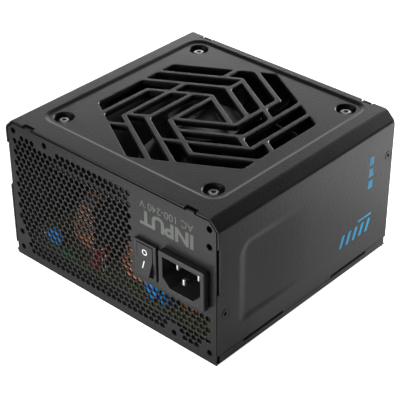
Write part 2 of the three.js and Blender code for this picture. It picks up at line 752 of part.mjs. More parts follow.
function makeSocketBoard() {
  const back = SOCKET_BACK - GAP;
  const half = SOCKET_BOARD_WIDTH / 2;
  return box(-half, half, back - BOARD_THICKNESS, back, PART_FOOT, PART_FOOT + SOCKET_BOARD_HEIGHT);
}

add('chassis', makeChassis(), BLACK_COAT);
allSockets().forEach((socket) => add(socket.name, makeSocket(socket), BLACK_PLASTIC));
add('socket_circuit_board', makeSocketBoard(), BOARD_GREEN);

// ---- Screws --------------------------------------------------------------------------------------

function fanScrew(x, y) {
  const seat = RECESS_Z - DIMPLE_DEPTH + GAP;
  const top = seat + FAN_SCREW_HEAD_HEIGHT;
  const head = bar('z', circle(FAN_SCREW_HEAD, 16, x, y), seat, top);
  const shank = bar('z', circle(FAN_SCREW_RADIUS, 12, x, y), seat - FAN_SCREW_LENGTH, seat + DRIVE_DEPTH / 2);
  const socket = bar('z', circle(DRIVE_SOCKET, 6, x, y), top - DRIVE_DEPTH, top + PAST);
  return head.add(shank).subtract(socket);
}

function caseScrew(side, y, z) {
  const seat = SIDE_X - CASE_SCREW_HEAD_HEIGHT;
  const neck = circle(CASE_SCREW_RADIUS, 12, y, z);
  const head = taper('x', circle(CASE_SCREW_HEAD, 12, y, z), side * SIDE_X, neck, side * seat);
  const shankTop = seat + CASE_SCREW_HEAD_HEIGHT / 4;
  const shank = bar('x', neck, side * shankTop, side * (SIDE_X - CASE_SCREW_LENGTH));
  const socket = circle(DRIVE_SOCKET, 6, y, z);
  return head.add(shank).subtract(bar('x', socket, side * (SIDE_X - DRIVE_DEPTH), side * (SIDE_X + PAST)));
}

function boardScrew(x, y) {
  const seat = PART_FOOT;
  const head = bar('z', circle(BOARD_SCREW_HEAD, 12, x, y), seat, seat + BOARD_SCREW_HEAD_HEIGHT);
  const shank = bar('z', circle(BOARD_SCREW_RADIUS, 12, x, y), seat - BOARD_SCREW_LENGTH, seat + PART_STAND);
  return head.add(shank);
}

fanScrewPlaces().forEach(([x, y], i) => add(`fan_screw_${i + 1}`, fanScrew(x, y), STEEL));
[-1, 1].forEach((side, s) => {
  caseScrewPlaces().forEach(([y, z], i) => {
    add(`case_screw_${2 * s + i + 1}`, caseScrew(side, y, z), BLACK_STEEL);
  });
});
pillarPlaces().forEach(([x, y], i) => add(`board_screw_${i + 1}`, boardScrew(x, y), STEEL));

// ---- Fan -----------------------------------------------------------------------------------------

const HUB_TOP = FAN_TOP - HUB_TOP_DROP;
const HUB_FOOT = FAN_BOTTOM + MOTOR_BASE + 2 * GAP;

function makeFanFrame() {
  const square = roundedRectangle(0, FAN_Y, FAN_SIZE, FAN_SIZE, FAN_CORNER, 3);
  const block = bar('z', square, FAN_BOTTOM, FAN_TOP);
  const bore = bar('z', circle(FAN_BORE_RADIUS, 40, 0, FAN_Y), FAN_BOTTOM - PAST, FAN_TOP + PAST);
  const drum = circle(FAN_SIZE / 2 - GAP, 40, 0, FAN_Y);
  const around = rectangle(0, FAN_Y, 2 * FAN_SIZE, 2 * FAN_SIZE);
  const waist = bar('z', around, FAN_BOTTOM + FAN_FLANGE, FAN_TOP - FAN_FLANGE);
  const corners = waist.subtract(bar('z', drum, FAN_BOTTOM, FAN_TOP));
  const screwHoles = fanScrewPlaces().map(([x, y]) => {
    return bar('z', circle(FAN_SCREW_RADIUS + GAP, 12, x, y), FAN_BOTTOM - PAST, FAN_TOP + PAST);
  });
  const ring = cut(block, [bore, corners, ...screwHoles]);
  return joined([ring, ...fanStruts(), ...motorBase()]).subtract(bearingBore());
}

function fanStruts() {
  const inner = HUB_RADIUS / 2;
  const outer = FAN_BORE_RADIUS + PAST;
  return [45, 135, 225, 315].map((angle) => {
    const turn = THREE.MathUtils.degToRad(angle);
    const corners = rectangle((inner + outer) / 2, 0, outer - inner, STRUT_WIDTH);
    const turned = corners.map(([a, b]) => [
      a * Math.cos(turn) - b * Math.sin(turn),
      FAN_Y + a * Math.sin(turn) + b * Math.cos(turn),
    ]);
    return bar('z', turned, FAN_BOTTOM, FAN_BOTTOM + MOTOR_BASE);
  });
}

function motorBase() {
  const plate = bar('z', circle(HUB_RADIUS, 28, 0, FAN_Y), FAN_BOTTOM, FAN_BOTTOM + MOTOR_BASE);
  const tube = circle(BEARING_TUBE_RADIUS, 20, 0, FAN_Y);
  return [plate, bar('z', tube, FAN_BOTTOM + MOTOR_BASE / 2, bearingTop())];
}

function bearingTop() {
  return FAN_BOTTOM + FAN_HEIGHT / 2;
}

function bearingBore() {
  const ring = circle(BEARING_RADIUS + GAP, 20, 0, FAN_Y);
  return bar('z', ring, FAN_BOTTOM + MOTOR_BASE / 2, bearingTop() + PAST);
}

function makeBearing() {
  const ring = circle(BEARING_RADIUS, 20, 0, FAN_Y);
  const bore = circle(SHAFT_RADIUS + RUNNING_GAP, 20, 0, FAN_Y);
  const low = FAN_BOTTOM + MOTOR_BASE / 2 + GAP;
  return bar('z', ring, low, bearingTop()).subtract(bar('z', bore, low - PAST, bearingTop() + PAST));
}

function makeShaft() {
  const low = FAN_BOTTOM + MOTOR_BASE / 2 + 2 * GAP;
  return bar('z', circle(SHAFT_RADIUS, 20, 0, FAN_Y), low, HUB_TOP - 2 * HUB_WALL - GAP);
}

function makeStator() {
  const radius = HUB_RADIUS - HUB_WALL - GAP - MAGNET_WALL - STATOR_GAP;
  const low = HUB_FOOT + PAST;
  const high = bearingTop() - PAST;
  const core = bar('z', circle(radius, 28, 0, FAN_Y), low, high);
  const bore = bar('z', circle(BEARING_TUBE_RADIUS + GAP, 20, 0, FAN_Y), low - PAST, high + PAST);
  const slotStart = (radius + BEARING_TUBE_RADIUS) / 2;
  const slots = [[1, 0], [-1, 0], [0, 1], [0, -1]].map(([dx, dy]) => {
    const reach = (slotStart + radius + PAST) / 2;
    const long = radius + PAST - slotStart;
    const width = dx === 0 ? STATOR_SLOT : long;
    const height = dx === 0 ? long : STATOR_SLOT;
    return bar('z', rectangle(dx * reach, FAN_Y + dy * reach, width, height), low - PAST, high + PAST);
  });
  return cut(core, [bore, ...slots]);
}

function makeMagnet() {
  const outer = HUB_RADIUS - HUB_WALL - GAP;
  const low = HUB_FOOT + PAST;
  const high = bearingTop() - PAST;
  const ring = bar('z', circle(outer, 28, 0, FAN_Y), low, high);
  return ring.subtract(bar('z', circle(outer - MAGNET_WALL, 28, 0, FAN_Y), low - PAST, high + PAST));
}

// One section across a blade at a given radius: a thin plate that leans over as it sweeps round.
function bladeSection(radius, share) {
  const tipRadius = FAN_BORE_RADIUS - BLADE_TIP_GAP;
  const sweep = THREE.MathUtils.degToRad(BLADE_SWEEP) * ((radius - HUB_RADIUS) / (tipRadius - HUB_RADIUS));
  const lean = THREE.MathUtils.degToRad(BLADE_LEAN) * share;
  const turn = sweep + lean;
  const middle = (HUB_TOP + HUB_FOOT) / 2;
  const z = middle + BLADE_RISE * (0.5 - share);
  const at = (height) => new THREE.Vector3(radius * Math.cos(turn), radius * Math.sin(turn), height);
  return [at(z), at(z + BLADE_THICKNESS)];
}

// The blade is a closed sheet of quads between its root inside the hub's wall and its tip.
function bladeGeometry() {
  const root = HUB_RADIUS - HUB_WALL / 2;
  const span = FAN_BORE_RADIUS - BLADE_TIP_GAP - root;
  const radii = [0, 1, 2, 3, 4].map((step) => root + (span * step) / 4);
  const shares = [0, 0.34, 0.68, 1];
  const grid = radii.map((radius) => shares.map((share) => bladeSection(radius, share)));
  const triangles = [];
  const quad = (a, b, c, d) => triangles.push(a, b, c, a, c, d);
  const lastR = radii.length - 1;
  const lastS = shares.length - 1;
  for (let i = 0; i < lastR; i += 1) {
    for (let j = 0; j < lastS; j += 1) {
      quad(grid[i][j][1], grid[i + 1][j][1], grid[i + 1][j + 1][1], grid[i][j + 1][1]);
      quad(grid[i][j][0], grid[i][j + 1][0], grid[i + 1][j + 1][0], grid[i + 1][j][0]);
    }
    quad(grid[i][0][0], grid[i + 1][0][0], grid[i + 1][0][1], grid[i][0][1]);
    quad(grid[i][lastS][1], grid[i + 1][lastS][1], grid[i + 1][lastS][0], grid[i][lastS][0]);
  }
  for (let j = 0; j < lastS; j += 1) {
    quad(grid[0][j][0], grid[0][j][1], grid[0][j + 1][1], grid[0][j + 1][0]);
    quad(grid[lastR][j][1], grid[lastR][j][0], grid[lastR][j + 1][0], grid[lastR][j + 1][1]);
  }
  return new THREE.BufferGeometry().setFromPoints(triangles);
}

function makeRotor() {
  const outer = bar('z', circle(HUB_RADIUS, 32, 0, FAN_Y), HUB_FOOT, HUB_TOP);
  const inner = bar('z', circle(HUB_RADIUS - HUB_WALL, 32, 0, FAN_Y), HUB_FOOT - PAST, HUB_TOP - HUB_WALL);
  const seat = bar('z', circle(SHAFT_SEAT_RADIUS, 20, 0, FAN_Y), bearingTop() + PAST, HUB_TOP - HUB_WALL / 2);
  const bore = circle(SHAFT_RADIUS + GAP, 20, 0, FAN_Y);
  const shaftBore = bar('z', bore, bearingTop(), HUB_TOP - 2 * HUB_WALL);
  const blades = [];
  for (let i = 0; i < BLADE_COUNT; i += 1) {
    const blade = bladeGeometry();
    blade.rotateZ((2 * Math.PI * i) / BLADE_COUNT);
    blade.translate(0, FAN_Y, 0);
    blades.push(solidOf(blade));
  }
  return joined([outer, ...blades]).subtract(inner).add(seat).subtract(shaftBore);
}

add('fan_frame', makeFanFrame(), BLACK_PLASTIC);
add('fan_rotor', makeRotor(), BLACK_PLASTIC);
add('fan_shaft', makeShaft(), PLATED);
add('fan_bearing', makeBearing(), BRONZE);
add('fan_stator', makeStator(), COPPER);
add('fan_magnet_ring', makeMagnet(), FERRITE);

// ---- Mains inlet ---------------------------------------------------------------------------------

function mouthOutline() {
  const half = INLET_MOUTH_WIDTH / 2;
  const low = INLET_Z - INLET_MOUTH_HEIGHT / 2;
  const high = INLET_Z + INLET_MOUTH_HEIGHT / 2;
  const chamfer = INLET_MOUTH_CHAMFER;
  return [
    [INLET_X - half, low + chamfer], [INLET_X - half + chamfer, low], [INLET_X + half - chamfer, low],
    [INLET_X + half, low + chamfer], [INLET_X + half, high], [INLET_X - half, high],
  ];
}

function pinPlaces() {
  return [
    { name: 'inlet_pin_live', x: INLET_X - PIN_SPREAD, z: INLET_Z + PIN_LIFT, setBack: PIN_SET_BACK },
    { name: 'inlet_pin_neutral', x: INLET_X + PIN_SPREAD, z: INLET_Z + PIN_LIFT, setBack: PIN_SET_BACK },
    { name: 'inlet_pin_earth', x: INLET_X, z: INLET_Z - EARTH_PIN_DROP, setBack: EARTH_PIN_SET_BACK },
  ];
}

function makeInlet() {
  const face = REAR_Y - INLET_PROUD;
  const bodyWidth = INLET_MOUTH_WIDTH + 2 * INLET_WALL;
  const bodyHeight = INLET_MOUTH_HEIGHT + 2 * INLET_WALL;
  const flangeOutline = rectangle(INLET_X, INLET_Z, INLET_FLANGE_WIDTH, INLET_FLANGE_HEIGHT);
  const flange = bar('y', flangeOutline, face, REAR_Y - GAP);
  const bodyOutline = rectangle(INLET_X, INLET_Z, bodyWidth, bodyHeight);
  const body = bar('y', bodyOutline, REAR_Y - 2 * GAP, REAR_Y + INLET_BODY_DEPTH);
  const mouth = bar('y', mouthOutline(), face - PAST, face + INLET_MOUTH_DEPTH);
  const pinSlots = pinPlaces().map(({ x, z }) => {
    const outline = rectangle(x, z, PIN_WIDTH + 2 * GAP, PIN_HEIGHT + 2 * GAP);
    return bar('y', outline, face, REAR_Y + INLET_BODY_DEPTH + PAST);
  });
  return cut(flange.add(body), [mouth, ...pinSlots]);
}

function makePin({ x, z, setBack }) {
  const tip = REAR_Y - INLET_PROUD + setBack;
  const point = taper('y', rectangle(x, z, PIN_WIDTH / 2, PIN_HEIGHT - PIN_WIDTH / 2), tip,
    rectangle(x, z, PIN_WIDTH, PIN_HEIGHT), tip + PIN_WIDTH / 2);
  return point.add(bar('y', rectangle(x, z, PIN_WIDTH, PIN_HEIGHT), tip + PIN_WIDTH / 2, PIN_BACK));
}

add('inlet_housing', makeInlet(), GREY_PLASTIC);
pinPlaces().forEach((pin) => add(pin.name, makePin(pin), PLATED));

// ---- Rocker switch -------------------------------------------------------------------------------

const ROCKER_ANGLE = THREE.MathUtils.degToRad(ROCKER_TILT);
const ROCKER_PIVOT_Y = REAR_Y - BEZEL_PROUD - ROCKER_STAND + ROCKER_FACE_OFFSET * Math.cos(ROCKER_ANGLE);
const ROCKER_TIP_OUT = ROCKER_FACE_OFFSET + ROCKER_HALF_LENGTH * Math.tan(ROCKER_ANGLE);
const ROCKER_REACH = ROCKER_HALF_LENGTH * Math.cos(ROCKER_ANGLE) + ROCKER_TIP_OUT * Math.sin(ROCKER_ANGLE);

// The rocker seen along X, at rest with its upper end pressed in. Outwards is -Y.
function rockerOutline() {
  const neutral = [
    [ROCKER_FACE_OFFSET, 0],
    [ROCKER_TIP_OUT, ROCKER_HALF_LENGTH],
    [ROCKER_FACE_OFFSET / 2, ROCKER_HALF_LENGTH],
    [-ROCKER_ROOT, ROCKER_ROOT_HALF],
    [-ROCKER_ROOT, -ROCKER_ROOT_HALF],
    [ROCKER_FACE_OFFSET / 2, -ROCKER_HALF_LENGTH],
    [ROCKER_TIP_OUT, -ROCKER_HALF_LENGTH],
  ];
  return neutral.map(([out, up]) => {
    const pressedOut = out * Math.cos(ROCKER_ANGLE) - up * Math.sin(ROCKER_ANGLE);
    const pressedUp = up * Math.cos(ROCKER_ANGLE) + out * Math.sin(ROCKER_ANGLE);
    return [ROCKER_PIVOT_Y - pressedOut, SWITCH_Z + pressedUp];
  });
}

// Stands a flat outline of any shape across X.
function extrudedAlongX(outline, from, to) {
  const shape = new THREE.Shape(outline.map(([y, z]) => new THREE.Vector2(y, z)));
  const geometry = new THREE.ExtrudeGeometry(shape, { depth: to - from, bevelEnabled: false });
  const turn = new THREE.Matrix4();
  turn.makeBasis(new THREE.Vector3(0, 1, 0), new THREE.Vector3(0, 0, 1), new THREE.Vector3(1, 0, 0));
  geometry.applyMatrix4(turn);
  geometry.translate(from, 0, 0);
  return solidOf(geometry);
}

function makeRocker() {
  const half = ROCKER_WIDTH / 2;
  const body = extrudedAlongX(rockerOutline(), SWITCH_X - half, SWITCH_X + half);
  const boss = circle(ROCKER_BOSS_RADIUS, 16, ROCKER_PIVOT_Y, SWITCH_Z);
  return body.add(bar('x', boss, SWITCH_X - half - ROCKER_BOSS_LENGTH, SWITCH_X + half + ROCKER_BOSS_LENGTH));
}

function terminalPlaces() {
  return [-TERMINAL_SPREAD, TERMINAL_SPREAD].map((offset) => SWITCH_X + offset);
}

function makeSwitchHousing() {
  const face = REAR_Y - BEZEL_PROUD;
  const back = REAR_Y + SWITCH_BODY_DEPTH;
  const bezel = bar('y', rectangle(SWITCH_X, SWITCH_Z, BEZEL_WIDTH, BEZEL_HEIGHT), face, REAR_Y - GAP);
  const lap = BEZEL_LAP + GAP;
  const bodyOutline = rectangle(SWITCH_X, SWITCH_Z, BEZEL_WIDTH - lap, BEZEL_HEIGHT - lap);
  const body = bar('y', bodyOutline, REAR_Y - 2 * GAP, back);
  const wellOutline = rectangle(SWITCH_X, SWITCH_Z, ROCKER_WIDTH + 2 * GAP, 2 * (ROCKER_REACH + GAP));
  const wellDepth = ROCKER_PIVOT_Y + ROCKER_ROOT + ROCKER_ROOT_HALF;
  const well = bar('y', wellOutline, face - PAST, wellDepth);
  const seatHalf = ROCKER_WIDTH / 2 + ROCKER_BOSS_LENGTH + GAP;
  const seat = circle(ROCKER_BOSS_RADIUS + GAP, 16, ROCKER_PIVOT_Y, SWITCH_Z);
  const seats = bar('x', seat, SWITCH_X - seatHalf, SWITCH_X + seatHalf);
  const slots = terminalPlaces().map((x) => {
    const outline = rectangle(x, SWITCH_Z, TERMINAL_WIDTH + 2 * GAP, TERMINAL_HEIGHT + 2 * GAP);
    return bar('y', outline, wellDepth - PAST, back + PAST);
  });
  return cut(bezel.add(body), [well, seats, ...slots]);
}

function makeTerminal(x) {
  const outline = rectangle(x, SWITCH_Z, TERMINAL_WIDTH, TERMINAL_HEIGHT);
  return bar('y', outline, TERMINAL_BACK - TERMINAL_LENGTH, TERMINAL_BACK);
}

add('switch_housing', makeSwitchHousing(), GREY_PLASTIC);
add('switch_rocker', makeRocker(), GREY_PLASTIC);
terminalPlaces().forEach((x, i) => add(`switch_terminal_${i + 1}`, makeTerminal(x), PLATED));

// ---- Main board and its parts --------------------------------------------------------------------

function makeBoard() {
  const plate = box(-BOARD_HALF_WIDTH, BOARD_HALF_WIDTH, BOARD_REAR, BOARD_FRONT, BOARD_UNDERSIDE, BOARD_TOP);
  const holes = pillarPlaces().map(([x, y]) => {
    return bar('z', circle(BOARD_SCREW_RADIUS + GAP, 12, x, y), BOARD_UNDERSIDE - PAST, BOARD_TOP + PAST);
  });
  return cut(plate, holes);
}

function makeInsulator() {
  const low = SHEET + GAP;
  const high = low + INSULATOR_THICKNESS;
  const sheet = box(-BOARD_HALF_WIDTH, BOARD_HALF_WIDTH, BOARD_REAR, BOARD_FRONT, low, high);
  const holes = pillarPlaces().map(([x, y]) => {
    return bar('z', circle(PILLAR_RADIUS + GAP, 12, x, y), low - PAST, high + PAST);
  });
  return cut(sheet, holes);
}

// A wound ring core: a closed ring of rounded section, lying flat about Z before it is turned.
function woundRing({ radius, bore, width }) {
  const middle = (radius + bore) / 2;
  const section = roundedRectangle(middle, 0, radius - bore, width, (radius - bore) / 3, 2);
  const profile = section.map(([a, b]) => new THREE.Vector2(a, b));
  profile.push(profile[0].clone());
  const ring = new THREE.LatheGeometry(profile, 20);
  ring.rotateX(Math.PI / 2);
  return ring;
}

function makeStandingChoke(choke) {
  const ring = woundRing(choke);
  ring.rotateY(Math.PI / 2);
  ring.translate(choke.x, REAR_Y + choke.fromRear, PART_FOOT + choke.radius);
  return solidOf(ring);
}

function makeLyingChoke(choke) {
  const ring = woundRing(choke);
  ring.translate(INLET_X + choke.fromInlet, REAR_Y + choke.fromRear, PART_FOOT + choke.width / 2);
  return solidOf(ring);
}

function makeDiscCap(axis, x, y) {
  const a = axis === 'y' ? x : y;
  const at = axis === 'y' ? y : x;
  const ring = circle(DISC_CAP.radius, 18, a, PART_FOOT + DISC_CAP.radius);
  return bar(axis, ring, at - DISC_CAP.thickness / 2, at + DISC_CAP.thickness / 2);
}

function makeCan({ radius, height }, x, y) {
  return bar('z', circle(radius, 24, x, y), PART_FOOT, PART_FOOT + height);
}

function makeBrick({ width, length, height }, x, y) {
  return bar('z', rectangle(x, y, width, length), PART_FOOT, PART_FOOT + height);
}

// Two core halves stand round a wider winding, so the block steps in at its ends.
function makeTransformer(size) {
  const { x, y } = size;
  const core = makeBrick(size, x, y);
  const step = size.width / 8;
  const window = size.length / 5;
  const notches = [-1, 1].flatMap((side) => [-1, 1].map((end) => {
    const cx = x + side * (size.width / 2 - step / 2);
    const cy = y + end * (size.length / 2 - window / 2);
    return bar('z', rectangle(cx, cy, step, window), PART_FOOT - PAST, PART_FOOT + size.height + PAST);
  }));
  return cut(core, notches);
}

function makeHeatsink({ x, y }, side) {
  const { plate, fin, finLength, finPitch, finCount, height } = HEATSINK;
  const span = (finCount - 1) * finPitch + fin;
  const pieces = [bar('z', rectangle(x, y, plate, span), PART_FOOT, PART_FOOT + height)];
  for (let i = 0; i < finCount; i += 1) {
    const finY = y - span / 2 + fin / 2 + i * finPitch;
    const finX = x + side * (plate / 2 + finLength / 2 - SHEET / 2);
    pieces.push(bar('z', rectangle(finX, finY, finLength + SHEET, fin), PART_FOOT, PART_FOOT + height));
  }
  return joined(pieces);
}

const DISC_CAP_Y = REAR_Y + 8.5;
const DISC_CAP_1_X = -51;
const DISC_CAP_2_FROM_INLET = -32;
const DISC_CAP_3_FROM_INLET = -21.5;

add('main_circuit_board', makeBoard(), BOARD_GREEN);
add('insulating_sheet', makeInsulator(), FILM);
add('boost_choke', makeStandingChoke(BOOST_CHOKE), COPPER);
add('line_choke', makeStandingChoke(LINE_CHOKE), COPPER);
add('inlet_choke', makeLyingChoke(INLET_CHOKE), COPPER);
add('disc_capacitor_1', makeDiscCap('y', DISC_CAP_1_X, DISC_CAP_Y), BLUE_ENAMEL);
add('disc_capacitor_2', makeDiscCap('y', INLET_X + DISC_CAP_2_FROM_INLET, DISC_CAP_Y), BLUE_ENAMEL);
add('disc_capacitor_3', makeDiscCap('x', INLET_X + DISC_CAP_3_FROM_INLET, DISC_CAP_Y), BLUE_ENAMEL);
const FILM_CAP_X = INLET_X + FILM_CAP.fromInlet;
const FILM_CAP_Y = REAR_Y + FILM_CAP.fromRear;
add('film_capacitor', makeBrick(FILM_CAP, FILM_CAP_X, FILM_CAP_Y), YELLOW_TAPE);
add('bulk_capacitor', makeCan(BULK_CAP, BULK_CAP.x, BULK_CAP.y), SLEEVE);
for (let i = 0; i < OUTPUT_CAP.count; i += 1) {
  const x = OUTPUT_CAP.firstX + i * OUTPUT_CAP.pitch;
  add(`output_capacitor_${i + 1}`, makeCan(OUTPUT_CAP, x, OUTPUT_CAP.y), SLEEVE);
}
add('main_transformer', makeTransformer(MAIN_TRANSFORMER), YELLOW_TAPE);
add('standby_transformer', makeTransformer(STANDBY_TRANSFORMER), YELLOW_TAPE);
add('primary_heatsink', makeHeatsink(PRIMARY_SINK, 1), ALUMINIUM);
add('secondary_heatsink', makeHeatsink(SECONDARY_SINK, 1), ALUMINIUM);

// ---- Leads ---------------------------------------------------------------------------------------

function makeLead(points, radius) {
  const path = new THREE.CatmullRomCurve3(points.map(([x, y, z]) => new THREE.Vector3(x, y, z)));
  const ring = circle(radius, LEAD_SIDES).map(([a, b]) => new THREE.Vector2(a, b));
  const options = { steps: LEAD_STEPS, extrudePath: path, bevelEnabled: false };
  return solidOf(new THREE.ExtrudeGeometry(new THREE.Shape(ring), options));
}

const [SWITCHED_X, SUPPLY_X] = terminalPlaces();
const PIN_Z = INLET_Z + PIN_LIFT;
const EARTH_Z = INLET_Z - EARTH_PIN_DROP;
const LEAD_START = PIN_BACK + GAP;
const TERMINAL_START = TERMINAL_BACK + GAP;

const LIVE_IN = [
  [INLET_X - PIN_SPREAD, LEAD_START, PIN_Z],
  [INLET_X - PIN_SPREAD, LEAD_START + 4, PIN_Z],
  [INLET_X - PIN_SPREAD - 5, LEAD_START + 9, PIN_Z - 1],
  [SUPPLY_X + 4, TERMINAL_START + 6, SWITCH_Z + 0.5],
  [SUPPLY_X + 0.5, TERMINAL_START + 3, SWITCH_Z],
  [SUPPLY_X, TERMINAL_START, SWITCH_Z],
];
const LIVE_OUT = [
  [SWITCHED_X, TERMINAL_START, SWITCH_Z],
  [SWITCHED_X, TERMINAL_START + 5, SWITCH_Z],
  [SWITCHED_X - 2, TERMINAL_START + 14, SWITCH_Z - 5],
  [SWITCHED_X - 6, TERMINAL_START + 20, SWITCH_Z - 16],
  [SWITCHED_X - 8, TERMINAL_START + 21, PART_FOOT],
];
const NEUTRAL = [
  [INLET_X + PIN_SPREAD, LEAD_START, PIN_Z],
  [INLET_X + PIN_SPREAD, LEAD_START + 5, PIN_Z],
  [INLET_X + PIN_SPREAD + 1, LEAD_START + 12, PIN_Z - 8],
  [INLET_X + PIN_SPREAD + 2, LEAD_START + 16, PIN_Z - 22],
  [INLET_X + PIN_SPREAD + 2, LEAD_START + 16, PART_FOOT],
];
const EARTH = [
  [INLET_X, LEAD_START, EARTH_Z],
  [INLET_X, LEAD_START + 3, EARTH_Z],
  [INLET_X + 4, LEAD_START + 7, EARTH_Z - 5],
  [INLET_X + 11, LEAD_START + 3, EARTH_Z - 11],
  [INLET_X + 13, LEAD_START - 8, EARTH_Z - 14],
  [INLET_X + 12.5, REAR_Y + SHEET + GAP, EARTH_Z - 15],
];
const FAN_CORNER_X = FAN_SIZE / 2 - FAN_CORNER;
const FAN_CORNER_Y = FAN_Y + FAN_SIZE / 2 - FAN_CORNER;
const FAN_LEAD_FOOT_X = BOARD_HALF_WIDTH - 10;
const FAN_SUPPLY = [
  [FAN_CORNER_X, FAN_CORNER_Y - 8, FAN_BOTTOM - GAP],
  [FAN_CORNER_X, FAN_CORNER_Y - 8, FAN_BOTTOM - 6],
  [FAN_LEAD_FOOT_X - 2, FAN_CORNER_Y - 9, FAN_BOTTOM - 16],
  [FAN_LEAD_FOOT_X, FAN_CORNER_Y - 16, FAN_BOTTOM - 30],
  [FAN_LEAD_FOOT_X, FAN_CORNER_Y - 18, PART_FOOT],
];

add('live_lead_to_switch', makeLead(LIVE_IN, LEAD_RADIUS), BROWN_LEAD);
add('live_lead_to_board', makeLead(LIVE_OUT, LEAD_RADIUS), BROWN_LEAD);
add('neutral_lead', makeLead(NEUTRAL, LEAD_RADIUS), BLUE_LEAD);
add('earth_lead', makeLead(EARTH, LEAD_RADIUS), GREEN_LEAD);
add('fan_lead', makeLead(FAN_SUPPLY, FAN_LEAD_RADIUS), BLACK_LEAD);

export default supply;
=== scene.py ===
"""Power supply unit: a folded steel case round a fan, a mains board and output sockets."""

import math

import bmesh
import bpy
from mathutils import Matrix, Vector
from mathutils.bvhtree import BVHTree


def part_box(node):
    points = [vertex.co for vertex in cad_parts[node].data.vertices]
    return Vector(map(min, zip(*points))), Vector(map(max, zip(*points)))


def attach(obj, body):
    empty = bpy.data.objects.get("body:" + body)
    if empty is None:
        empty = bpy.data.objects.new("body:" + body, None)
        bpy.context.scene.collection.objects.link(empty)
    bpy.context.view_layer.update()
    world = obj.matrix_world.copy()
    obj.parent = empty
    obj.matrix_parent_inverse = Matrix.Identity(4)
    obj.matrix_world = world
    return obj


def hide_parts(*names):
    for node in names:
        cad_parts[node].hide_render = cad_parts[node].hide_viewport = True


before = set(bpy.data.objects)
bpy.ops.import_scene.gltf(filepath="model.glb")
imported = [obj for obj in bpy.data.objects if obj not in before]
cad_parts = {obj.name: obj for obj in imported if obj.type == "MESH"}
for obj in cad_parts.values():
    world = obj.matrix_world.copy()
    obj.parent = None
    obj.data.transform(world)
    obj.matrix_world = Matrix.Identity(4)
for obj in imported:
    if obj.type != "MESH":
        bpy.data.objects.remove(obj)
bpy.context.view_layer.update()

# ---- Chassis ---------------------------------------------
# The lower half of the case: 1 mm steel folded into a tray with a wall at each end, powder coated
# black. The mains panel is its rear wall, punched with a honeycomb of vents, and the cover's screws
# go into its sides. Sizes are in millimetres.

MM = 0.001
REAR_Y = -70
SHEET = 1.0
SAME_PLACE = 0.02
SQUARE_ON = 0.99


class Signal:
    """A value inside a material: sums on it add Math nodes, and node() adds any other node."""

    def __init__(self, tree, socket):
        self.tree = tree
        self.socket = socket

    def node(self, kind, settings=(), sockets=(), output=0):
        made = self.tree.nodes.new("ShaderNode" + kind)
        for name, value in dict(settings).items():
            setattr(made, name, value)
        for key, value in dict(sockets).items():
            if isinstance(value, Signal):
                self.tree.links.new(value.socket, made.inputs[key])
            else:
                made.inputs[key].default_value = value
        return Signal(self.tree, made.outputs[output])

    def math(self, operation, *values):
        return self.node("Math", {"operation": operation}, dict(enumerate(values)))

    def __add__(self, other):
        return self.math("ADD", self, other)

    def __mul__(self, other):
        return self.math("MULTIPLY", self, other)

    __radd__ = __add__
    __rmul__ = __mul__

    def noise(self, size, detail=3.0, roughness=0.5):
        """Cloudy values from nought to one, with lumps of about this size in millimetres."""
        sockets = {"Vector": self, "Scale": 1 / (size * MM), "Detail": detail, "Roughness": roughness}
        return self.node("TexNoise", {}, sockets)

    def stretched(self, x, y, z):
        return self.node("Mapping", {"vector_type": "POINT"}, {"Vector": self, "Scale": (x, y, z)})

    def blend(self, low, high):
        """The colour low where this value is nought and high where it is one."""
        return self.node("Mix", {"data_type": "RGBA"}, {0: self, 6: low, 7: high}, output=2)

    def bump(self, depth):
        """A normal from this height, which is depth millimetres at 1."""
        return self.node("Bump", {}, {"Height": self, "Strength": 1.0, "Distance": depth * MM})


def grey(value):
    return (value, value, value, 1.0)


class Finish:
    """A material with one Principled shader, and the object's own coordinates to draw patterns on."""

    def __init__(self, name, **constants):
        self.material = bpy.data.materials.new(name)
        self.material.use_nodes = True
        tree = self.material.node_tree
        self.shader = tree.nodes["Principled BSDF"]
        self.place = Signal(tree, tree.nodes.new("ShaderNodeTexCoord").outputs["Object"])
        for socket, value in constants.items():
            self.shader.inputs[socket.replace("_", " ")].default_value = value

    def put(self, socket, signal):
        self.place.tree.links.new(signal.socket, self.shader.inputs[socket])


def powder_coat(name, colour, roughness):
    """Sprayed and baked powder, whose fine orange-peel texture breaks up the gloss."""
    coat = Finish(name, IOR=1.5, Specular_IOR_Level=0.3)
    speckle = coat.place.noise(0.45, detail=2.0)
    mottle = coat.place.noise(9.0, detail=3.0)
    coat.put("Base Color", (speckle * 0.7 + mottle * 0.3).blend(grey(colour * 0.4), grey(colour * 1.8)))
    coat.put("Roughness", speckle * 0.10 + mottle * 0.06 + (roughness - 0.08))
    peel = coat.place.noise(1.2, detail=1.0)
    coat.put("Normal", (speckle + peel * 1.5).bump(0.055))
    return coat.material


BLACK_COAT = powder_coat("black_powder_coat", 0.011, 0.34)


def merged(node):
    """A bmesh of a CAD node with its triangles joined into whole faces."""
    bm = bmesh.new()
    bm.from_mesh(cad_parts[node].data)
    bmesh.ops.remove_doubles(bm, verts=bm.verts, dist=0.001 * MM)
    bmesh.ops.dissolve_limit(bm, angle_limit=0.01, verts=bm.verts, edges=bm.edges)
    return bm


def middle(item):
    """The middle of an edge or a face, in millimetres."""
    total = Vector((0, 0, 0))
    for vert in item.verts:
        total += vert.co
    return total / len(item.verts) / MM


def turning(bm, least, wanted):
    """The edges that wanted picks, where the surface turns by at least this many degrees."""
    limit = math.radians(least)
    return [e for e in bm.edges if e.is_manifold and e.calc_face_angle() > limit and wanted(e)]


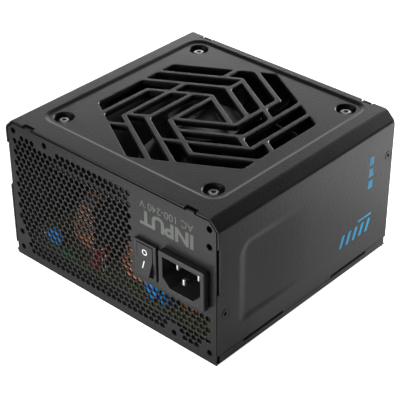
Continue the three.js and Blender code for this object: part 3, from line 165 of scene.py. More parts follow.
def rounded(bm, items, radius, segments, affect="EDGES", clamp=False):
    """Rounds edges, or the corners of a flat face where affect says vertices."""
    bmesh.ops.bevel(
        bm, geom=items, offset=radius * MM, offset_type="OFFSET", segments=segments, profile=0.5,
        affect=affect, clamp_overlap=clamp, material=-1,
    )


def steady_normals(mesh, sharp):
    """Keeps flat sheet flat: a corner takes the normals near its face's own, by whole flat areas."""
    flats = []
    areas = {}
    for face in mesh.polygons:
        normal = face.normal.copy()
        flat = (*(round(c, 3) for c in normal), round(normal.dot(face.center) / MM, 2))
        flats.append((flat, normal))
        areas[flat] = areas.get(flat, 0.0) + face.area
    around = [{} for _ in mesh.vertices]
    for face, (flat, normal) in zip(mesh.polygons, flats):
        for index in face.vertices:
            around[index][flat] = normal
    limit = math.cos(math.radians(sharp))
    normals = []
    for face, (_, own) in zip(mesh.polygons, flats):
        for index in face.vertices:
            total = Vector((0, 0, 0))
            for flat, normal in around[index].items():
                if normal.dot(own) > limit:
                    total += normal * areas[flat]
            normals.append(total.normalized())
    mesh.normals_split_custom_set(normals)


EASED_ABOVE = 35


def piece(
    name, bm, materials, body="case", stands_for=(), sharp=38, eased=0.0, steady=False,
):
    """The finished object, smooth but for its sharp edges; eased is how wide its corners are broken."""
    mesh = bpy.data.meshes.new(name)
    bm.to_mesh(mesh)
    bm.free()
    for material in materials:
        mesh.materials.append(material)
    mesh.shade_smooth()
    mesh.set_sharp_from_angle(angle=math.radians(sharp))
    made = bpy.data.objects.new(name, mesh)
    bpy.context.scene.collection.objects.link(made)
    if eased:
        corners = made.modifiers.new("eased", "BEVEL")
        corners.width = eased * MM
        corners.segments = 2
        corners.limit_method = "ANGLE"
        corners.angle_limit = math.radians(EASED_ABOVE)
    if steady:
        steady_normals(mesh, sharp)
    else:
        weighted = made.modifiers.new("weighted", "WEIGHTED_NORMAL")
        weighted.keep_sharp = True
    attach(made, body)
    if stands_for:
        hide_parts(*stands_for)


FIXING_HOLES = ((-69, 80), (-45, 80), (-69, 16), (-69, 6), (45, 6), (69, 6), (69, 70), (69, 80))
HOLE_MARGIN = 5
HOLE_MARGIN_ACROSS = 6.1
HOLE_MARGIN_UP = 3.5
VENT_ROWS = 22
VENT_TOP = 77.35
VENT_ROW_PITCH = 3.3775
VENT_PITCH = 3.9
VENT_X = 15.4
VENT_WIDTH = 3.0
VENT_LIMIT = 69
ROWS_BESIDE_SWITCH = 15
VENTS_BESIDE_SWITCH = 16.5
VENT_EDGE = 0.14
SWITCH_LEFT, SWITCH_LOW = 19, 32
COARSE_HALF, COARSE_LOW, COARSE_HIGH = 73, 2.4, 82
RIM_HALF, RIM_HIGH, RIM_CHAMFER, RIM_LOW = 73.6, 84.6, 153.4, 7
RIM_ROUNDING = 0.3
COVER_GAP = 0.35


def vent_places():
    """The middles of the honeycomb's holes, row by row, clear of the switch and of the fixing holes."""
    for row in range(VENT_ROWS):
        z = VENT_TOP - VENT_ROW_PITCH * row
        first = VENT_X - VENT_PITCH / 2 * (row % 2) - VENT_PITCH * VENT_ROWS
        right = VENTS_BESIDE_SWITCH if row < ROWS_BESIDE_SWITCH else VENT_LIMIT
        for column in range(2 * VENT_ROWS):
            x = first + VENT_PITCH * column
            clear = all(
                math.hypot(x - hx, z - hz) >= HOLE_MARGIN
                and (abs(x - hx) >= HOLE_MARGIN_ACROSS or abs(z - hz) >= HOLE_MARGIN_UP)
                for hx, hz in FIXING_HOLES
            )
            if -VENT_LIMIT <= x <= right and clear:
                yield x, z


def lies_at(edge, axis, place):
    """True where both ends of an edge are at this place on an axis."""
    return all(abs(v.co[axis] / MM - place) < SAME_PLACE for v in edge.verts)


def near_fixing_hole(at, reach):
    return any(math.hypot(at.x - x, at.z - z) < reach for x, z in FIXING_HOLES)


def is_coarse_vent(face):
    """True inside the CAD's wider vents, which the real honeycomb takes the place of."""
    at = middle(face)
    between = REAR_Y + 0.1 < at.y < REAR_Y + SHEET - 0.1
    beside_switch = at.x > SWITCH_LEFT and at.z > SWITCH_LOW
    in_reach = abs(at.x) < COARSE_HALF and COARSE_LOW < at.z < COARSE_HIGH
    return between and in_reach and not beside_switch and not near_fixing_hole(at, 2.5)


def fill_flat(bm, axis, place):
    """Closes the sheet at this place on an axis, between its outline and every hole in it."""
    rim = [e for e in bm.edges if len(e.link_faces) < 2 and lies_at(e, axis, place)]
    bmesh.ops.triangle_fill(bm, use_beauty=True, use_dissolve=False, edges=rim)


def drop_loose(bm):
    bmesh.ops.delete(bm, geom=[e for e in bm.edges if not e.link_faces], context="EDGES")
    bmesh.ops.delete(bm, geom=[v for v in bm.verts if not v.link_edges], context="VERTS")


def chassis():
    """The tray with its mains panel opened, drilled with the honeycomb and closed again."""
    bm = merged("chassis")
    skins = [
        f for y in (REAR_Y, REAR_Y + SHEET) for f in bm.faces
        if abs(f.normal.y) > SQUARE_ON and abs(middle(f).y - y) < SAME_PLACE
    ]
    coarse = [f for f in bm.faces if is_coarse_vent(f)]
    bmesh.ops.delete(bm, geom=skins + coarse, context="FACES_ONLY")
    drop_loose(bm)
    upright = Matrix.Rotation(math.radians(90), 4, "X") @ Matrix.Rotation(math.radians(30), 4, "Z")
    reach = (VENT_WIDTH / 2 + VENT_EDGE) / math.cos(math.pi / 6)
    vents = []
    for x, z in vent_places():
        ring = bmesh.ops.create_circle(
            bm, cap_ends=True, segments=6, radius=reach * MM,
            matrix=Matrix.Translation(Vector((x, REAR_Y, z)) * MM) @ upright,
        )
        vents.append(ring["verts"][0].link_faces[0])
    bmesh.ops.recalc_face_normals(bm, faces=vents)
    for face in vents:
        if face.normal.y > 0:
            face.normal_flip()
    bmesh.ops.inset_individual(bm, faces=vents, thickness=VENT_EDGE * MM, depth=-VENT_EDGE * MM)
    bored = bmesh.ops.extrude_discrete_faces(bm, faces=vents)["faces"]
    for vert in {v for f in bored for v in f.verts}:
        vert.co.y = (REAR_Y + SHEET) * MM
    bmesh.ops.delete(bm, geom=bored, context="FACES_ONLY")
    for y in (REAR_Y, REAR_Y + SHEET):
        fill_flat(bm, 1, y)
    bmesh.ops.recalc_face_normals(bm, faces=bm.faces)

    def wall_rim(edge):
        at = middle(edge)
        outline = abs(at.x) > RIM_HALF or at.z > RIM_HIGH or abs(at.x) + at.z > RIM_CHAMFER
        wanted = outline or near_fixing_hole(at, 2)
        return lies_at(edge, 1, REAR_Y) and at.z > RIM_LOW and wanted

    rounded(bm, turning(bm, 60, wall_rim), RIM_ROUNDING, 2)
    for vert in bm.verts:
        at = vert.co / MM
        if at.y < REAR_Y + 1.1 * SHEET and at.z > RIM_LOW:
            if abs(at.x) > RIM_HALF - RIM_ROUNDING:
                vert.co.x -= math.copysign(COVER_GAP, at.x) * MM
            if at.z > RIM_HIGH - RIM_ROUNDING:
                vert.co.z -= COVER_GAP * MM
    return bm


piece("chassis_tray", chassis(), [BLACK_COAT], stands_for=["chassis"], sharp=40, steady=True)

# ---- Cover -----------------------------------------------
# The upper half of the case: 1 mm steel folded into a U with chamfered shoulders, powder coated black.
# The fan grille is pressed and cut in its top, each fan screw sits in a dimple, and each side has a
# pressed panel.

FAN_Y = 4
RECESS_Z = 85
TOP_Z = 86
SIDE_X = 75
GRILLE_DEPTH = 3
GRILLE_CORE = 7.25
GRILLE_PITCH = 10.85
GRILLE_BAR = 3.2
GRILLE_RIM = 51.0
GRILLE_HALF = 60
BAR_ROUNDING = 0.75
BAR_STEPS = 3
SLOT_CORNER = 1.9
SLOT_TIGHT_CORNER = 0.9
RECESS_HALF = 62.4
RECESS_CORNER = 9.0
RECESS_SLOPE = 3.0
RECESS_STEPS = 6
DIMPLE_RIM = 6.1
DIMPLE_PROFILE = (
    (0, 0), (0.25, 0.05), (0.45, 0.16), (0.6, 0.34), (0.7, 0.6), (1.25, 2.2), (1.4, 2.55),
    (1.65, 2.74), (2.0, 2.8),
)
DIMPLE_FLOOR = RECESS_Z - DIMPLE_PROFILE[-1][1]
EMBOSS_REAR = -55.6
EMBOSS_LENGTH = 55.6
EMBOSS_LOW = 17.7
EMBOSS_HIGH = 67.0
EMBOSS_DEPTH = 1.2
RAMP_BEND = 0.25
EMBOSS_END_RAMP = 7.0
EMBOSS_TOP_RAMP = 5.0
EMBOSS_LOW_RAMP = 3.6
EMBOSS_CORNER = 10.0
CAD_EMBOSS_DEPTH = 2.0
SHOULDER_X = 69.6
SHOULDER_Z = 80.6
SHOULDER_BEND = 1.1
SCREW_SEAT = 3.3
RIM_NOTCH = (44.0, 44.4, 70.4, 70.8)
RIM_NOTCH_DEPTH = 1.15
END_ROUNDING = 0.22
FAN_SCREW_REACH = 52.5
DIMPLES = [(FAN_SCREW_REACH * x, FAN_Y + FAN_SCREW_REACH * y) for x in (-1, 1) for y in (-1, 1)]
CASE_SCREWS = ((-65.0, 30.7), (66.2, 61.0))


def outer(ring):
    """How far the outer edge of this ring's bars is from the grille's centre."""
    return GRILLE_CORE + GRILLE_PITCH * ring


def inner(ring):
    return outer(ring - 1) + GRILLE_BAR


def crossing(one, two):
    """Where two lines meet, each square to its angle at its distance from the centre."""
    a, b = math.radians(one[0]), math.radians(two[0])
    spread = math.sin(b - a)
    x = (one[1] * math.sin(b) - two[1] * math.sin(a)) / spread
    y = (two[1] * math.cos(a) - one[1] * math.cos(b)) / spread
    return Vector((x, FAN_Y + y))


SLOTS = (
    ((120, outer(4)), (180, outer(4)), (120, inner(4)), (180, inner(2))),
    ((120, outer(3)), (180, outer(4)), (120, inner(3)), (180, inner(1))),
    (
        (180, inner(3)), (120, outer(2)), (180, outer(4)), (240, outer(4)), (180, inner(4)),
        (120, inner(2)),
    ),
    (
        (120, outer(1)), (180, outer(3)), (240, outer(4)), (300, outer(1)), (240, inner(4)),
        (180, inner(3)),
    ),
    ((180, outer(2)), (120, outer(1)), (180, inner(2)), (300, outer(0))),
    (
        (180, outer(2)), (120, outer(2)), (60, outer(1)), (0, outer(1)), (60, inner(1)),
        (120, inner(2)),
    ),
)
CORE_SLOT = ((180, outer(0)), (60, outer(0)), (300, outer(0)))


def slot_outlines():
    """The corners of every slot: one in the middle, and a third of the grille turned three ways."""
    yield [crossing(*pair) for pair in zip(CORE_SLOT, CORE_SLOT[1:] + CORE_SLOT[:1])]
    for turn in (0, -120, 120):
        for lines in SLOTS:
            turned = [(angle + turn, reach) for angle, reach in lines]
            yield [crossing(*pair) for pair in zip(turned, turned[1:] + turned[:1])]


def new_face(bm, known):
    """The one face that isn't among those known, turned to face up."""
    face = next(f for f in bm.faces if f not in known)
    if face.normal.z < 0:
        face.normal_flip()
    return face


def cut_slot(bm, outline):
    """Cuts one slot: corners rounded in plan, the upper edge rolled over, and a wall below it."""
    area = sum(a.cross(b) for a, b in zip(outline, outline[1:] + outline[:1]))
    if area < 0:
        outline = outline[::-1]
    verts, tight = [], []
    for before, at, after in zip(outline[-1:] + outline[:-1], outline, outline[1:] + outline[:1]):
        one, two = (at - before).normalized(), (after - at).normalized()
        out_one, out_two = Vector((one.y, -one.x)), Vector((two.y, -two.x))
        at = at + (out_one + out_two) * BAR_ROUNDING / (1 + out_one.dot(out_two))
        verts.append(bm.verts.new(Vector((at.x, at.y, RECESS_Z)) * MM))
        if one.cross(two) < 0:
            tight.append(verts[-1])
    face = bm.faces.new(verts)
    known = set(bm.faces) - {face}
    open_corners = [v for v in verts if v not in tight]
    for corners, size in ((open_corners, SLOT_CORNER), (tight, SLOT_TIGHT_CORNER)):
        if corners:
            rounded(bm, corners, size, 4, affect="VERTICES", clamp=True)
    face = new_face(bm, known)
    for step in range(BAR_STEPS):
        a, b = (math.pi / 2 * (step + k) / BAR_STEPS for k in (0, 1))
        bmesh.ops.inset_region(
            bm, faces=[face], use_boundary=True, use_even_offset=True,
            thickness=BAR_ROUNDING * (math.sin(b) - math.sin(a)) * MM,
            depth=-BAR_ROUNDING * (math.cos(a) - math.cos(b)) * MM,
        )
    below = bmesh.ops.extrude_discrete_faces(bm, faces=[face])["faces"][0]
    for vert in below.verts:
        vert.co.z = (RECESS_Z - GRILLE_DEPTH) * MM
    bmesh.ops.delete(bm, geom=[below], context="FACES_ONLY")


def sink(bm, face, profile):
    """Presses the sheet down inside a face, ring by ring, along a profile of (inset, depth) points."""
    for (inset, depth), (next_inset, next_depth) in zip(profile, profile[1:]):
        bmesh.ops.inset_region(
            bm, faces=[face], use_boundary=True, use_even_offset=True,
            thickness=(next_inset - inset) * MM, depth=-(next_depth - depth) * MM,
        )
    bmesh.ops.delete(bm, geom=[face], context="FACES_ONLY")


def s_curve(share):
    """Turns an even climb from nought to one into an S with level ends."""
    share = min(1.0, max(0.0, share))
    return share * share * (3 - 2 * share)


def press_recess(bm):
    """The shallow square round the grille: its edge is a soft S, not a corner."""
    known = set(bm.faces)
    centre = Matrix.Translation(Vector((0, FAN_Y, TOP_Z)) * MM)
    square = bmesh.ops.create_grid(
        bm, x_segments=1, y_segments=1, size=RECESS_HALF * MM, matrix=centre,
    )["verts"]
    rounded(bm, square, RECESS_CORNER, 10, affect="VERTICES", clamp=True)
    steps = [step / RECESS_STEPS for step in range(RECESS_STEPS + 1)]
    slope = [(RECESS_SLOPE * t, (TOP_Z - RECESS_Z) * s_curve(t)) for t in steps]
    sink(bm, new_face(bm, known), slope)


def press_dimple(bm, x, y):
    """A countersunk dimple round a fan screw, with a rolled rim and a small floor."""
    known = set(bm.faces)
    place = Matrix.Translation(Vector((x, y, RECESS_Z)) * MM)
    bmesh.ops.create_circle(bm, cap_ends=True, segments=40, radius=DIMPLE_RIM * MM, matrix=place)
    sink(bm, new_face(bm, known), DIMPLE_PROFILE)


def hexagon_reach(at):
    """How far out a place is, measured square to the sides of the hexagonal grille."""
    return max(
        at.x * math.cos(math.radians(angle)) + (at.y - FAN_Y) * math.sin(math.radians(angle))
        for angle in range(0, 360, 60)
    )


def in_grille(face):
    """True on the walls of the CAD's own slots, which are cut again with rolled edges."""
    at = middle(face)
    upright = abs(face.normal.z) < 0.1
    return upright and hexagon_reach(at) < GRILLE_RIM and at.z > RECESS_Z - GRILLE_DEPTH - 0.1


def is_top_skin(face):
    """True on the outer skin of the top: its flat, the recess and the dimples, not the screw holes."""
    at = middle(face)
    flat = face.normal.z > SQUARE_ON and any(abs(at.z - z) < SAME_PLACE for z in (TOP_Z, RECESS_Z))
    slope = 0.3 < face.normal.z < SQUARE_ON and at.z > RECESS_Z and abs(at.x) < RECESS_HALF + 1.6
    from_screw = min(math.hypot(at.x - x, at.y - y) for x, y in DIMPLES)
    sunk = DIMPLE_FLOOR - 0.1 < at.z < RECESS_Z and from_screw < DIMPLE_RIM - 0.1
    dimpled = face.normal.z > 0.3 and sunk
    return flat or slope or dimpled


def ramped(share):
    """An even climb from nought to one whose two ends are rounded off."""
    share = min(1.0, max(0.0, share))
    bend = 2 * RAMP_BEND * (1 - RAMP_BEND)
    if share < RAMP_BEND:
        return share * share / bend
    if share > 1 - RAMP_BEND:
        return 1 - (1 - share) ** 2 / bend
    return (share - RAMP_BEND / 2) / (1 - RAMP_BEND)


def emboss_depth(y, z):
    """How deep the pressed panel is: deepest at its rear ramp, and level with the side at its front."""
    from_rear, from_top, from_low = y - EMBOSS_REAR, EMBOSS_HIGH - z, z - EMBOSS_LOW
    corner_y, corner_z = EMBOSS_CORNER - from_rear, EMBOSS_CORNER - from_top
    if corner_y > 0 and corner_z > 0:
        inside = EMBOSS_CORNER - math.hypot(corner_y, corner_z)
        share = (corner_y / math.hypot(corner_y, corner_z)) ** 2
        climb = inside / (EMBOSS_TOP_RAMP + (EMBOSS_END_RAMP - EMBOSS_TOP_RAMP) * share)
    else:
        climb = min(from_rear / EMBOSS_END_RAMP, from_top / EMBOSS_TOP_RAMP)
    climb, low_climb = (min(1.0, max(0.0, part)) for part in (climb, from_low / EMBOSS_LOW_RAMP))
    ramp = 1 - min(1.0, math.hypot(1 - climb, 1 - low_climb))
    wedge = 1 - (from_rear - EMBOSS_END_RAMP) / (EMBOSS_LENGTH - EMBOSS_END_RAMP)
    return EMBOSS_DEPTH * s_curve(wedge) * ramped(ramp)


def press_side(bm, side):
    """Remakes one side's outer skin round a softly pressed panel."""
    def is_skin(face):
        at = middle(face)
        near_screw = any(math.hypot(at.y - y, at.z - z) < SCREW_SEAT for y, z in CASE_SCREWS)
        holed = len(face.verts) > 30
        outward = face.normal.x * side > 0.3 and at.x * side > SIDE_X - CAD_EMBOSS_DEPTH - 0.1
        return outward and at.z < SHOULDER_Z - 0.1 and (holed or not near_screw)

    bmesh.ops.delete(bm, geom=[f for f in bm.faces if is_skin(f)], context="FACES_ONLY")
    bmesh.ops.delete(bm, geom=[e for e in bm.edges if not e.link_faces], context="EDGES")
    low, high = Vector((EMBOSS_REAR - 1, EMBOSS_LOW - 1)), Vector((1, EMBOSS_HIGH + 1))
    place = (
        Matrix.Translation(Vector((side * SIDE_X, (low.x + high.x) / 2, (low.y + high.y) / 2)) * MM)
        @ Matrix.Diagonal((1, (high.x - low.x) * MM, (high.y - low.y) * MM, 1))
        @ Matrix.Rotation(math.radians(90), 4, "Y")
    )
    panel = bmesh.ops.create_grid(bm, x_segments=54, y_segments=60, size=0.5, matrix=place)["verts"]
    for vert in panel:
        vert.co.x -= side * emboss_depth(vert.co.y / MM, vert.co.z / MM) * MM
    fill_flat(bm, 0, side * SIDE_X)


def notch_rim(bm, side):
    """Cuts a long shallow notch in the rear rim, which leaves a dark gap beside the mains panel."""
    cuts = []
    for x in (side * (SIDE_X - SHEET), side * SIDE_X):
        line = []
        for z in RIM_NOTCH:
            edge = next(
                e for e in bm.edges
                if lies_at(e, 0, x) and lies_at(e, 1, REAR_Y)
                and min(v.co.z for v in e.verts) < z * MM < max(v.co.z for v in e.verts)
            )
            low = min(edge.verts, key=lambda v: v.co.z)
            share = (z * MM - low.co.z) / edge.calc_length()
            line.append(bmesh.utils.edge_split(edge, low, share)[1])
        cuts.append(line)
    for one, two in zip(*cuts):
        shared = next(f for f in one.link_faces if two in f.verts)
        bmesh.utils.face_split(shared, one, two)
    for line in cuts:
        for vert in line[1:3]:
            vert.co.y += RIM_NOTCH_DEPTH * MM


def cover():
    """The U with its top and sides opened, pressed and cut to shape, and closed again."""
    bm = merged("cover")
    for side in (-1, 1):
        notch_rim(bm, side)
    remade = [f for f in bm.faces if in_grille(f) or is_top_skin(f)]
    bmesh.ops.delete(bm, geom=remade, context="FACES_ONLY")
    under = [
        f for f in bm.faces
        if f.normal.z < -SQUARE_ON and abs(middle(f).z - RECESS_Z + GRILLE_DEPTH) < SAME_PLACE
        and math.hypot(middle(f).x, middle(f).y - FAN_Y) < GRILLE_HALF
    ]
    bmesh.ops.delete(bm, geom=under, context="FACES_ONLY")
    for side in (-1, 1):
        press_side(bm, side)
    drop_loose(bm)
    for outline in slot_outlines():
        cut_slot(bm, outline)
    press_recess(bm)
    for x, y in DIMPLES:
        press_dimple(bm, x, y)
    for z in (TOP_Z, RECESS_Z, DIMPLE_FLOOR, RECESS_Z - GRILLE_DEPTH):
        fill_flat(bm, 2, z)
    bmesh.ops.recalc_face_normals(bm, faces=bm.faces)

    def shoulder(edge):
        at = middle(edge)
        along = abs(edge.verts[0].co.y - edge.verts[1].co.y) > 2 * MM
        low = abs(abs(at.x) - SIDE_X) < SAME_PLACE and abs(at.z - SHOULDER_Z) < SAME_PLACE
        high = abs(abs(at.x) - SHOULDER_X) < SAME_PLACE and abs(at.z - TOP_Z) < SAME_PLACE
        return along and (low or high)

    def end_rim(edge):
        return all(abs(abs(v.co.y / MM) + REAR_Y) < SAME_PLACE for v in edge.verts)

    rounded(bm, turning(bm, 30, shoulder), SHOULDER_BEND, 3)
    rounded(bm, turning(bm, 60, end_rim), END_ROUNDING, 2)
    return bm


piece("cover_shell", cover(), [BLACK_COAT], stands_for=["cover"], sharp=42, steady=True)

# ---- Screws ----------------------------------------------
# Turned and rolled steel screws with a hexagonal drive: bare zinc ones hold the fan and the board,
# and flat black ones hold the cover to the chassis.

def plated_metal(name, colour, roughness):
    """Bright metal with fine turning or rolling marks and a few duller spots."""
    metal = Finish(name, Metallic=1.0)
    cloud = metal.place.noise(1.6, detail=4.0)
    fine = metal.place.noise(0.12, detail=2.0)
    dark = tuple(c * 0.72 for c in colour[:3]) + (1.0,)
    metal.put("Base Color", cloud.blend(dark, colour))
    metal.put("Roughness", cloud * 0.18 + (roughness - 0.06))
    metal.put("Normal", (fine + cloud * 0.5).bump(0.008))
    return metal.material


ZINC = plated_metal("zinc_steel_screw", (0.62, 0.63, 0.64, 1.0), 0.30)
BLACK_STEEL = plated_metal("black_steel_screw", (0.05, 0.05, 0.052, 1.0), 0.38)


def turned(bm, profile, steps):
    """Spins a profile of (radius, height) points round Z into a closed solid, as a lathe turns it."""
    verts = [bm.verts.new(Vector((radius, 0, height)) * MM) for radius, height in profile]
    edges = [bm.edges.new(pair) for pair in zip(verts, verts[1:])]
    bmesh.ops.spin(
        bm, geom=verts + edges, cent=(0, 0, 0), axis=(0, 0, 1), angle=2 * math.pi, steps=steps,
        use_merge=True, use_duplicate=False,
    )
    bmesh.ops.remove_doubles(bm, verts=bm.verts, dist=0.002 * MM)


def standing(centre, axis):
    """The turn and the move that take a part made up Z to this centre, along this axis."""
    turn = Vector((0, 0, 1)).rotation_difference(Vector(axis)).to_matrix().to_4x4()
    return Matrix.Translation(Vector(centre) * MM) @ turn


def screw(name, node, centre, axis, material, head, height, crown, drive, depth, shank, length):
    """A screw whose head's top is at centre, with a hexagonal drive hole sunk in it."""
    bm = bmesh.new()
    rim = drive * 1.3
    turned(bm, [
        (rim, 0), (head - 0.35, -crown * 0.35), (head - 0.1, -crown), (head, -crown - 0.15),
        (head, -height), (shank, -height), (shank, 0.5 - length), (shank - 0.4, -length), (0, -length),
    ], 32)
    hexagon = bmesh.ops.create_circle(bm, segments=6, radius=drive * MM)["verts"]
    hexagon_edges = list({e for v in hexagon for e in v.link_edges})
    round_edges = [e for e in bm.edges if e.is_boundary and all(abs(v.co.z) < 1e-7 for v in e.verts)]
    sunk = bmesh.ops.extrude_edge_only(bm, edges=hexagon_edges)["geom"]
    floor = [v for v in sunk if isinstance(v, bmesh.types.BMVert)]
    bmesh.ops.translate(bm, verts=floor, vec=Vector((0, 0, -depth)) * MM)
    bmesh.ops.contextual_create(bm, geom=floor)
    bmesh.ops.bridge_loops(bm, edges=round_edges + hexagon_edges)
    bmesh.ops.recalc_face_normals(bm, faces=bm.faces)
    bm.transform(standing(centre, axis))
    piece(name, bm, [material], stands_for=[node], sharp=40)


FAN_SCREW_TOP = 83.6
for number, (x, y) in enumerate(DIMPLES, 1):
    screw(
        f"fan_screw_{number}_zinc", f"fan_screw_{number}", (x, y, FAN_SCREW_TOP), (0, 0, 1), ZINC,
        head=2.9, height=1.1, crown=0.3, drive=1.45, depth=2.4, shank=1.9, length=13,
    )
CASE_SCREW_SINK = 0.1
seats = [(side, y, z) for side in (-1, 1) for y, z in CASE_SCREWS]
for number, (side, y, z) in enumerate(seats, 1):
    top = (side * (SIDE_X - CASE_SCREW_SINK), y, z)
    screw(
        f"case_screw_{number}_black", f"case_screw_{number}", top, (side, 0, 0), BLACK_STEEL,
        head=2.75, height=0.7, crown=0.15, drive=1.05, depth=1.6, shank=1.4, length=4.9,
    )
BOARD_SCREW_TOP = 13.1
pillars = [(x, y) for y in (-57, 49) for x in (-63, 63)]
for number, (x, y) in enumerate(pillars, 1):
    screw(
        f"board_screw_{number}_zinc", f"board_screw_{number}", (x, y, BOARD_SCREW_TOP), (0, 0, 1), ZINC,
        head=2.7, height=1.8, crown=0.5, drive=1.2, depth=1.4, shank=1.35, length=7.8,
    )

# ---- Fan -------------------------------------------------
# A 120 mm fan: moulded black frame and nine-bladed rotor in glass-filled polyester, on a steel shaft
# in a bronze sleeve, with the magnet ring in the hub and the copper-wound stator on the motor base.

def moulded(name, colour, roughness, grain=0.6, depth=0.01):
    """Injection-moulded plastic with a spark-eroded grain and faint flow marks."""
    plastic = Finish(name, IOR=1.48)
    texture = plastic.place.noise(grain, detail=3.0)
    flow = plastic.place.stretched(1.0, 0.35, 1.0).noise(14.0, detail=2.0)
    low = tuple(c * 0.7 for c in colour[:3]) + (1.0,)
    high = tuple(min(1.0, c * 1.3) for c in colour[:3]) + (1.0,)
    plastic.put("Base Color", (texture * 0.4 + flow * 0.6).blend(low, high))
    plastic.put("Roughness", texture * 0.12 + flow * 0.08 + (roughness - 0.1))
    plastic.put("Normal", texture.bump(depth))
    return plastic.material


def from_cad(name, node, material, eased, body="case", sharp=38):
    """The CAD node's own shape with whole faces and eased corners, as a moulding or a cut part has."""
    piece(name, merged(node), [material], body=body, stands_for=[node], sharp=sharp, eased=eased)


FAN_PLASTIC = moulded("black_fan_plastic", (0.03, 0.03, 0.032, 1.0), 0.32)
PLATED = plated_metal("plated_steel", (0.72, 0.72, 0.70, 1.0), 0.22)
BRONZE = plated_metal("sintered_bronze", (0.48, 0.30, 0.15, 1.0), 0.45)
FERRITE = moulded("ferrite", (0.035, 0.034, 0.036, 1.0), 0.55, grain=0.3)
from_cad("fan_frame_moulding", "fan_frame", FAN_PLASTIC, 0.5)
from_cad("fan_rotor_moulding", "fan_rotor", FAN_PLASTIC, 0.35, body="fan", sharp=32)
from_cad("fan_shaft_steel", "fan_shaft", PLATED, 0.2, body="fan")
from_cad("fan_sleeve_bronze", "fan_bearing", BRONZE, 0.2)
from_cad("fan_magnet_ferrite", "fan_magnet_ring", FERRITE, 0.3, body="fan")

# ---- Mains inlet -----------------------------------------
# An appliance inlet for a detachable mains lead: moulded in black plastic and snapped into its cut-out
# in the mains panel, with three plated blades in its mouth.

INLET_PLASTIC = moulded("grey_black_plastic", (0.009, 0.009, 0.0095, 1.0), 0.44, grain=0.5)
from_cad("inlet_moulding", "inlet_housing", INLET_PLASTIC, 0.5)
for pin in ("live", "neutral", "earth"):
    from_cad(f"inlet_blade_{pin}", f"inlet_pin_{pin}", PLATED, 0.25)

# ---- Rocker switch ---------------------------------------
# A two-position mains switch, snapped into the mains panel beside the inlet: a moulded bezel and rocker,
# with the off and on signs printed in white.

SIGN_HEIGHT = 0.05
SIGN_LIFT = 0.01
SIGN_X = 28.1
BEFORE_PANEL = -90
ink = Finish("white_sign_ink", Roughness=0.45)
ink.put("Base Color", ink.place.noise(0.5).blend(grey(0.62), grey(0.82)))
from_cad("switch_bezel", "switch_housing", INLET_PLASTIC, 0.4)
rocker = merged("switch_rocker")
rounded(rocker, turning(rocker, 35, lambda e: True), 0.35, 2)
rocker_skin = BVHTree.FromBMesh(rocker)
piece("rocker_moulding", rocker, [INLET_PLASTIC], body="rocker", stands_for=["switch_rocker"])


def printed(name, bm, z):
    """Lays a flat sign on the rocker's face at this height, standing a hair above it."""
    bmesh.ops.solidify(bm, geom=bm.faces[:], thickness=SIGN_HEIGHT * MM)
    bmesh.ops.recalc_face_normals(bm, faces=bm.faces)
    start = Vector((SIGN_X, BEFORE_PANEL, z)) * MM
    at, normal, _, _ = rocker_skin.ray_cast(start, Vector((0, 1, 0)))
    upright = Matrix.Rotation(math.radians(90), 4, "X")
    turn = Vector((0, -1, 0)).rotation_difference(normal).to_matrix().to_4x4()
    bm.transform(Matrix.Translation(at + normal * SIGN_LIFT * MM) @ turn @ upright)
    piece(name, bm, [ink.material], body="rocker")


bm = bmesh.new()
for radius in (1.15, 1.7):
    bmesh.ops.create_circle(bm, segments=32, radius=radius * MM)
bmesh.ops.bridge_loops(bm, edges=bm.edges[:])
printed("off_sign", bm, 48.9)
bm = bmesh.new()
stroke = Matrix.Diagonal((0.6 * MM, 3.8 * MM, 1, 1))
bmesh.ops.create_grid(bm, x_segments=1, y_segments=1, size=0.5, matrix=stroke)
printed("on_sign", bm, 42.2)
for number in (1, 2):
    from_cad(f"switch_tag_{number}", f"switch_terminal_{number}", PLATED, 0.12)

# ---- Main board and its parts ----------------------------
# A single-sided glass-fibre board on four pillars, over an insulating film. The coils, capacitors,
# transformers and heatsinks that show through the vents stand on it, soldered from below.

board = Finish("circuit_board", Roughness=0.4)
tracks = board.place.node("TexBrick", {"offset": 0.37, "squash": 0.6}, {
    "Vector": board.place, "Scale": 170.0, "Mortar Size": 0.012, "Mortar Smooth": 0.3,
    "Color1": grey(0.2), "Color2": grey(0.7), "Mortar": grey(1.0),
})
weave = board.place.noise(1.2, detail=4.0)
mask = tracks.node("RGBToBW", {}, {"Color": tracks})
laminate = mask * 0.5 + weave * 0.5
board.put("Base Color", laminate.blend((0.03, 0.035, 0.010, 1.0), (0.12, 0.13, 0.04, 1.0)))
board.put("Roughness", weave * 0.2 + 0.3)
board.put("Normal", (mask + weave * 0.2).bump(0.03))
from_cad("main_board_laminate", "main_circuit_board", board.material, 0.1)
from_cad("socket_board_laminate", "socket_circuit_board", board.material, 0.1)
film = Finish("insulating_film", Roughness=0.35, IOR=1.5)
ripple = film.place.noise(30.0, detail=2.0)
film.put("Base Color", ripple.blend((0.02, 0.02, 0.021, 1.0), (0.05, 0.05, 0.052, 1.0)))
film.put("Normal", ripple.bump(0.4))
from_cad("board_insulator_film", "insulating_sheet", film.material, 0.1)

COPPER = Finish("enamelled_copper", Metallic=0.45, Coat_Weight=0.6, Coat_Roughness=0.12, Coat_IOR=1.55)
shade = COPPER.place.noise(2.2, detail=3.0)
COPPER.put("Base Color", shade.blend((0.42, 0.11, 0.032, 1.0), (0.76, 0.28, 0.11, 1.0)))
COPPER.put("Roughness", shade * 0.15 + 0.2)
CORE = moulded("iron_powder_core", (0.09, 0.09, 0.085, 1.0), 0.6, grain=0.4, depth=0.03)


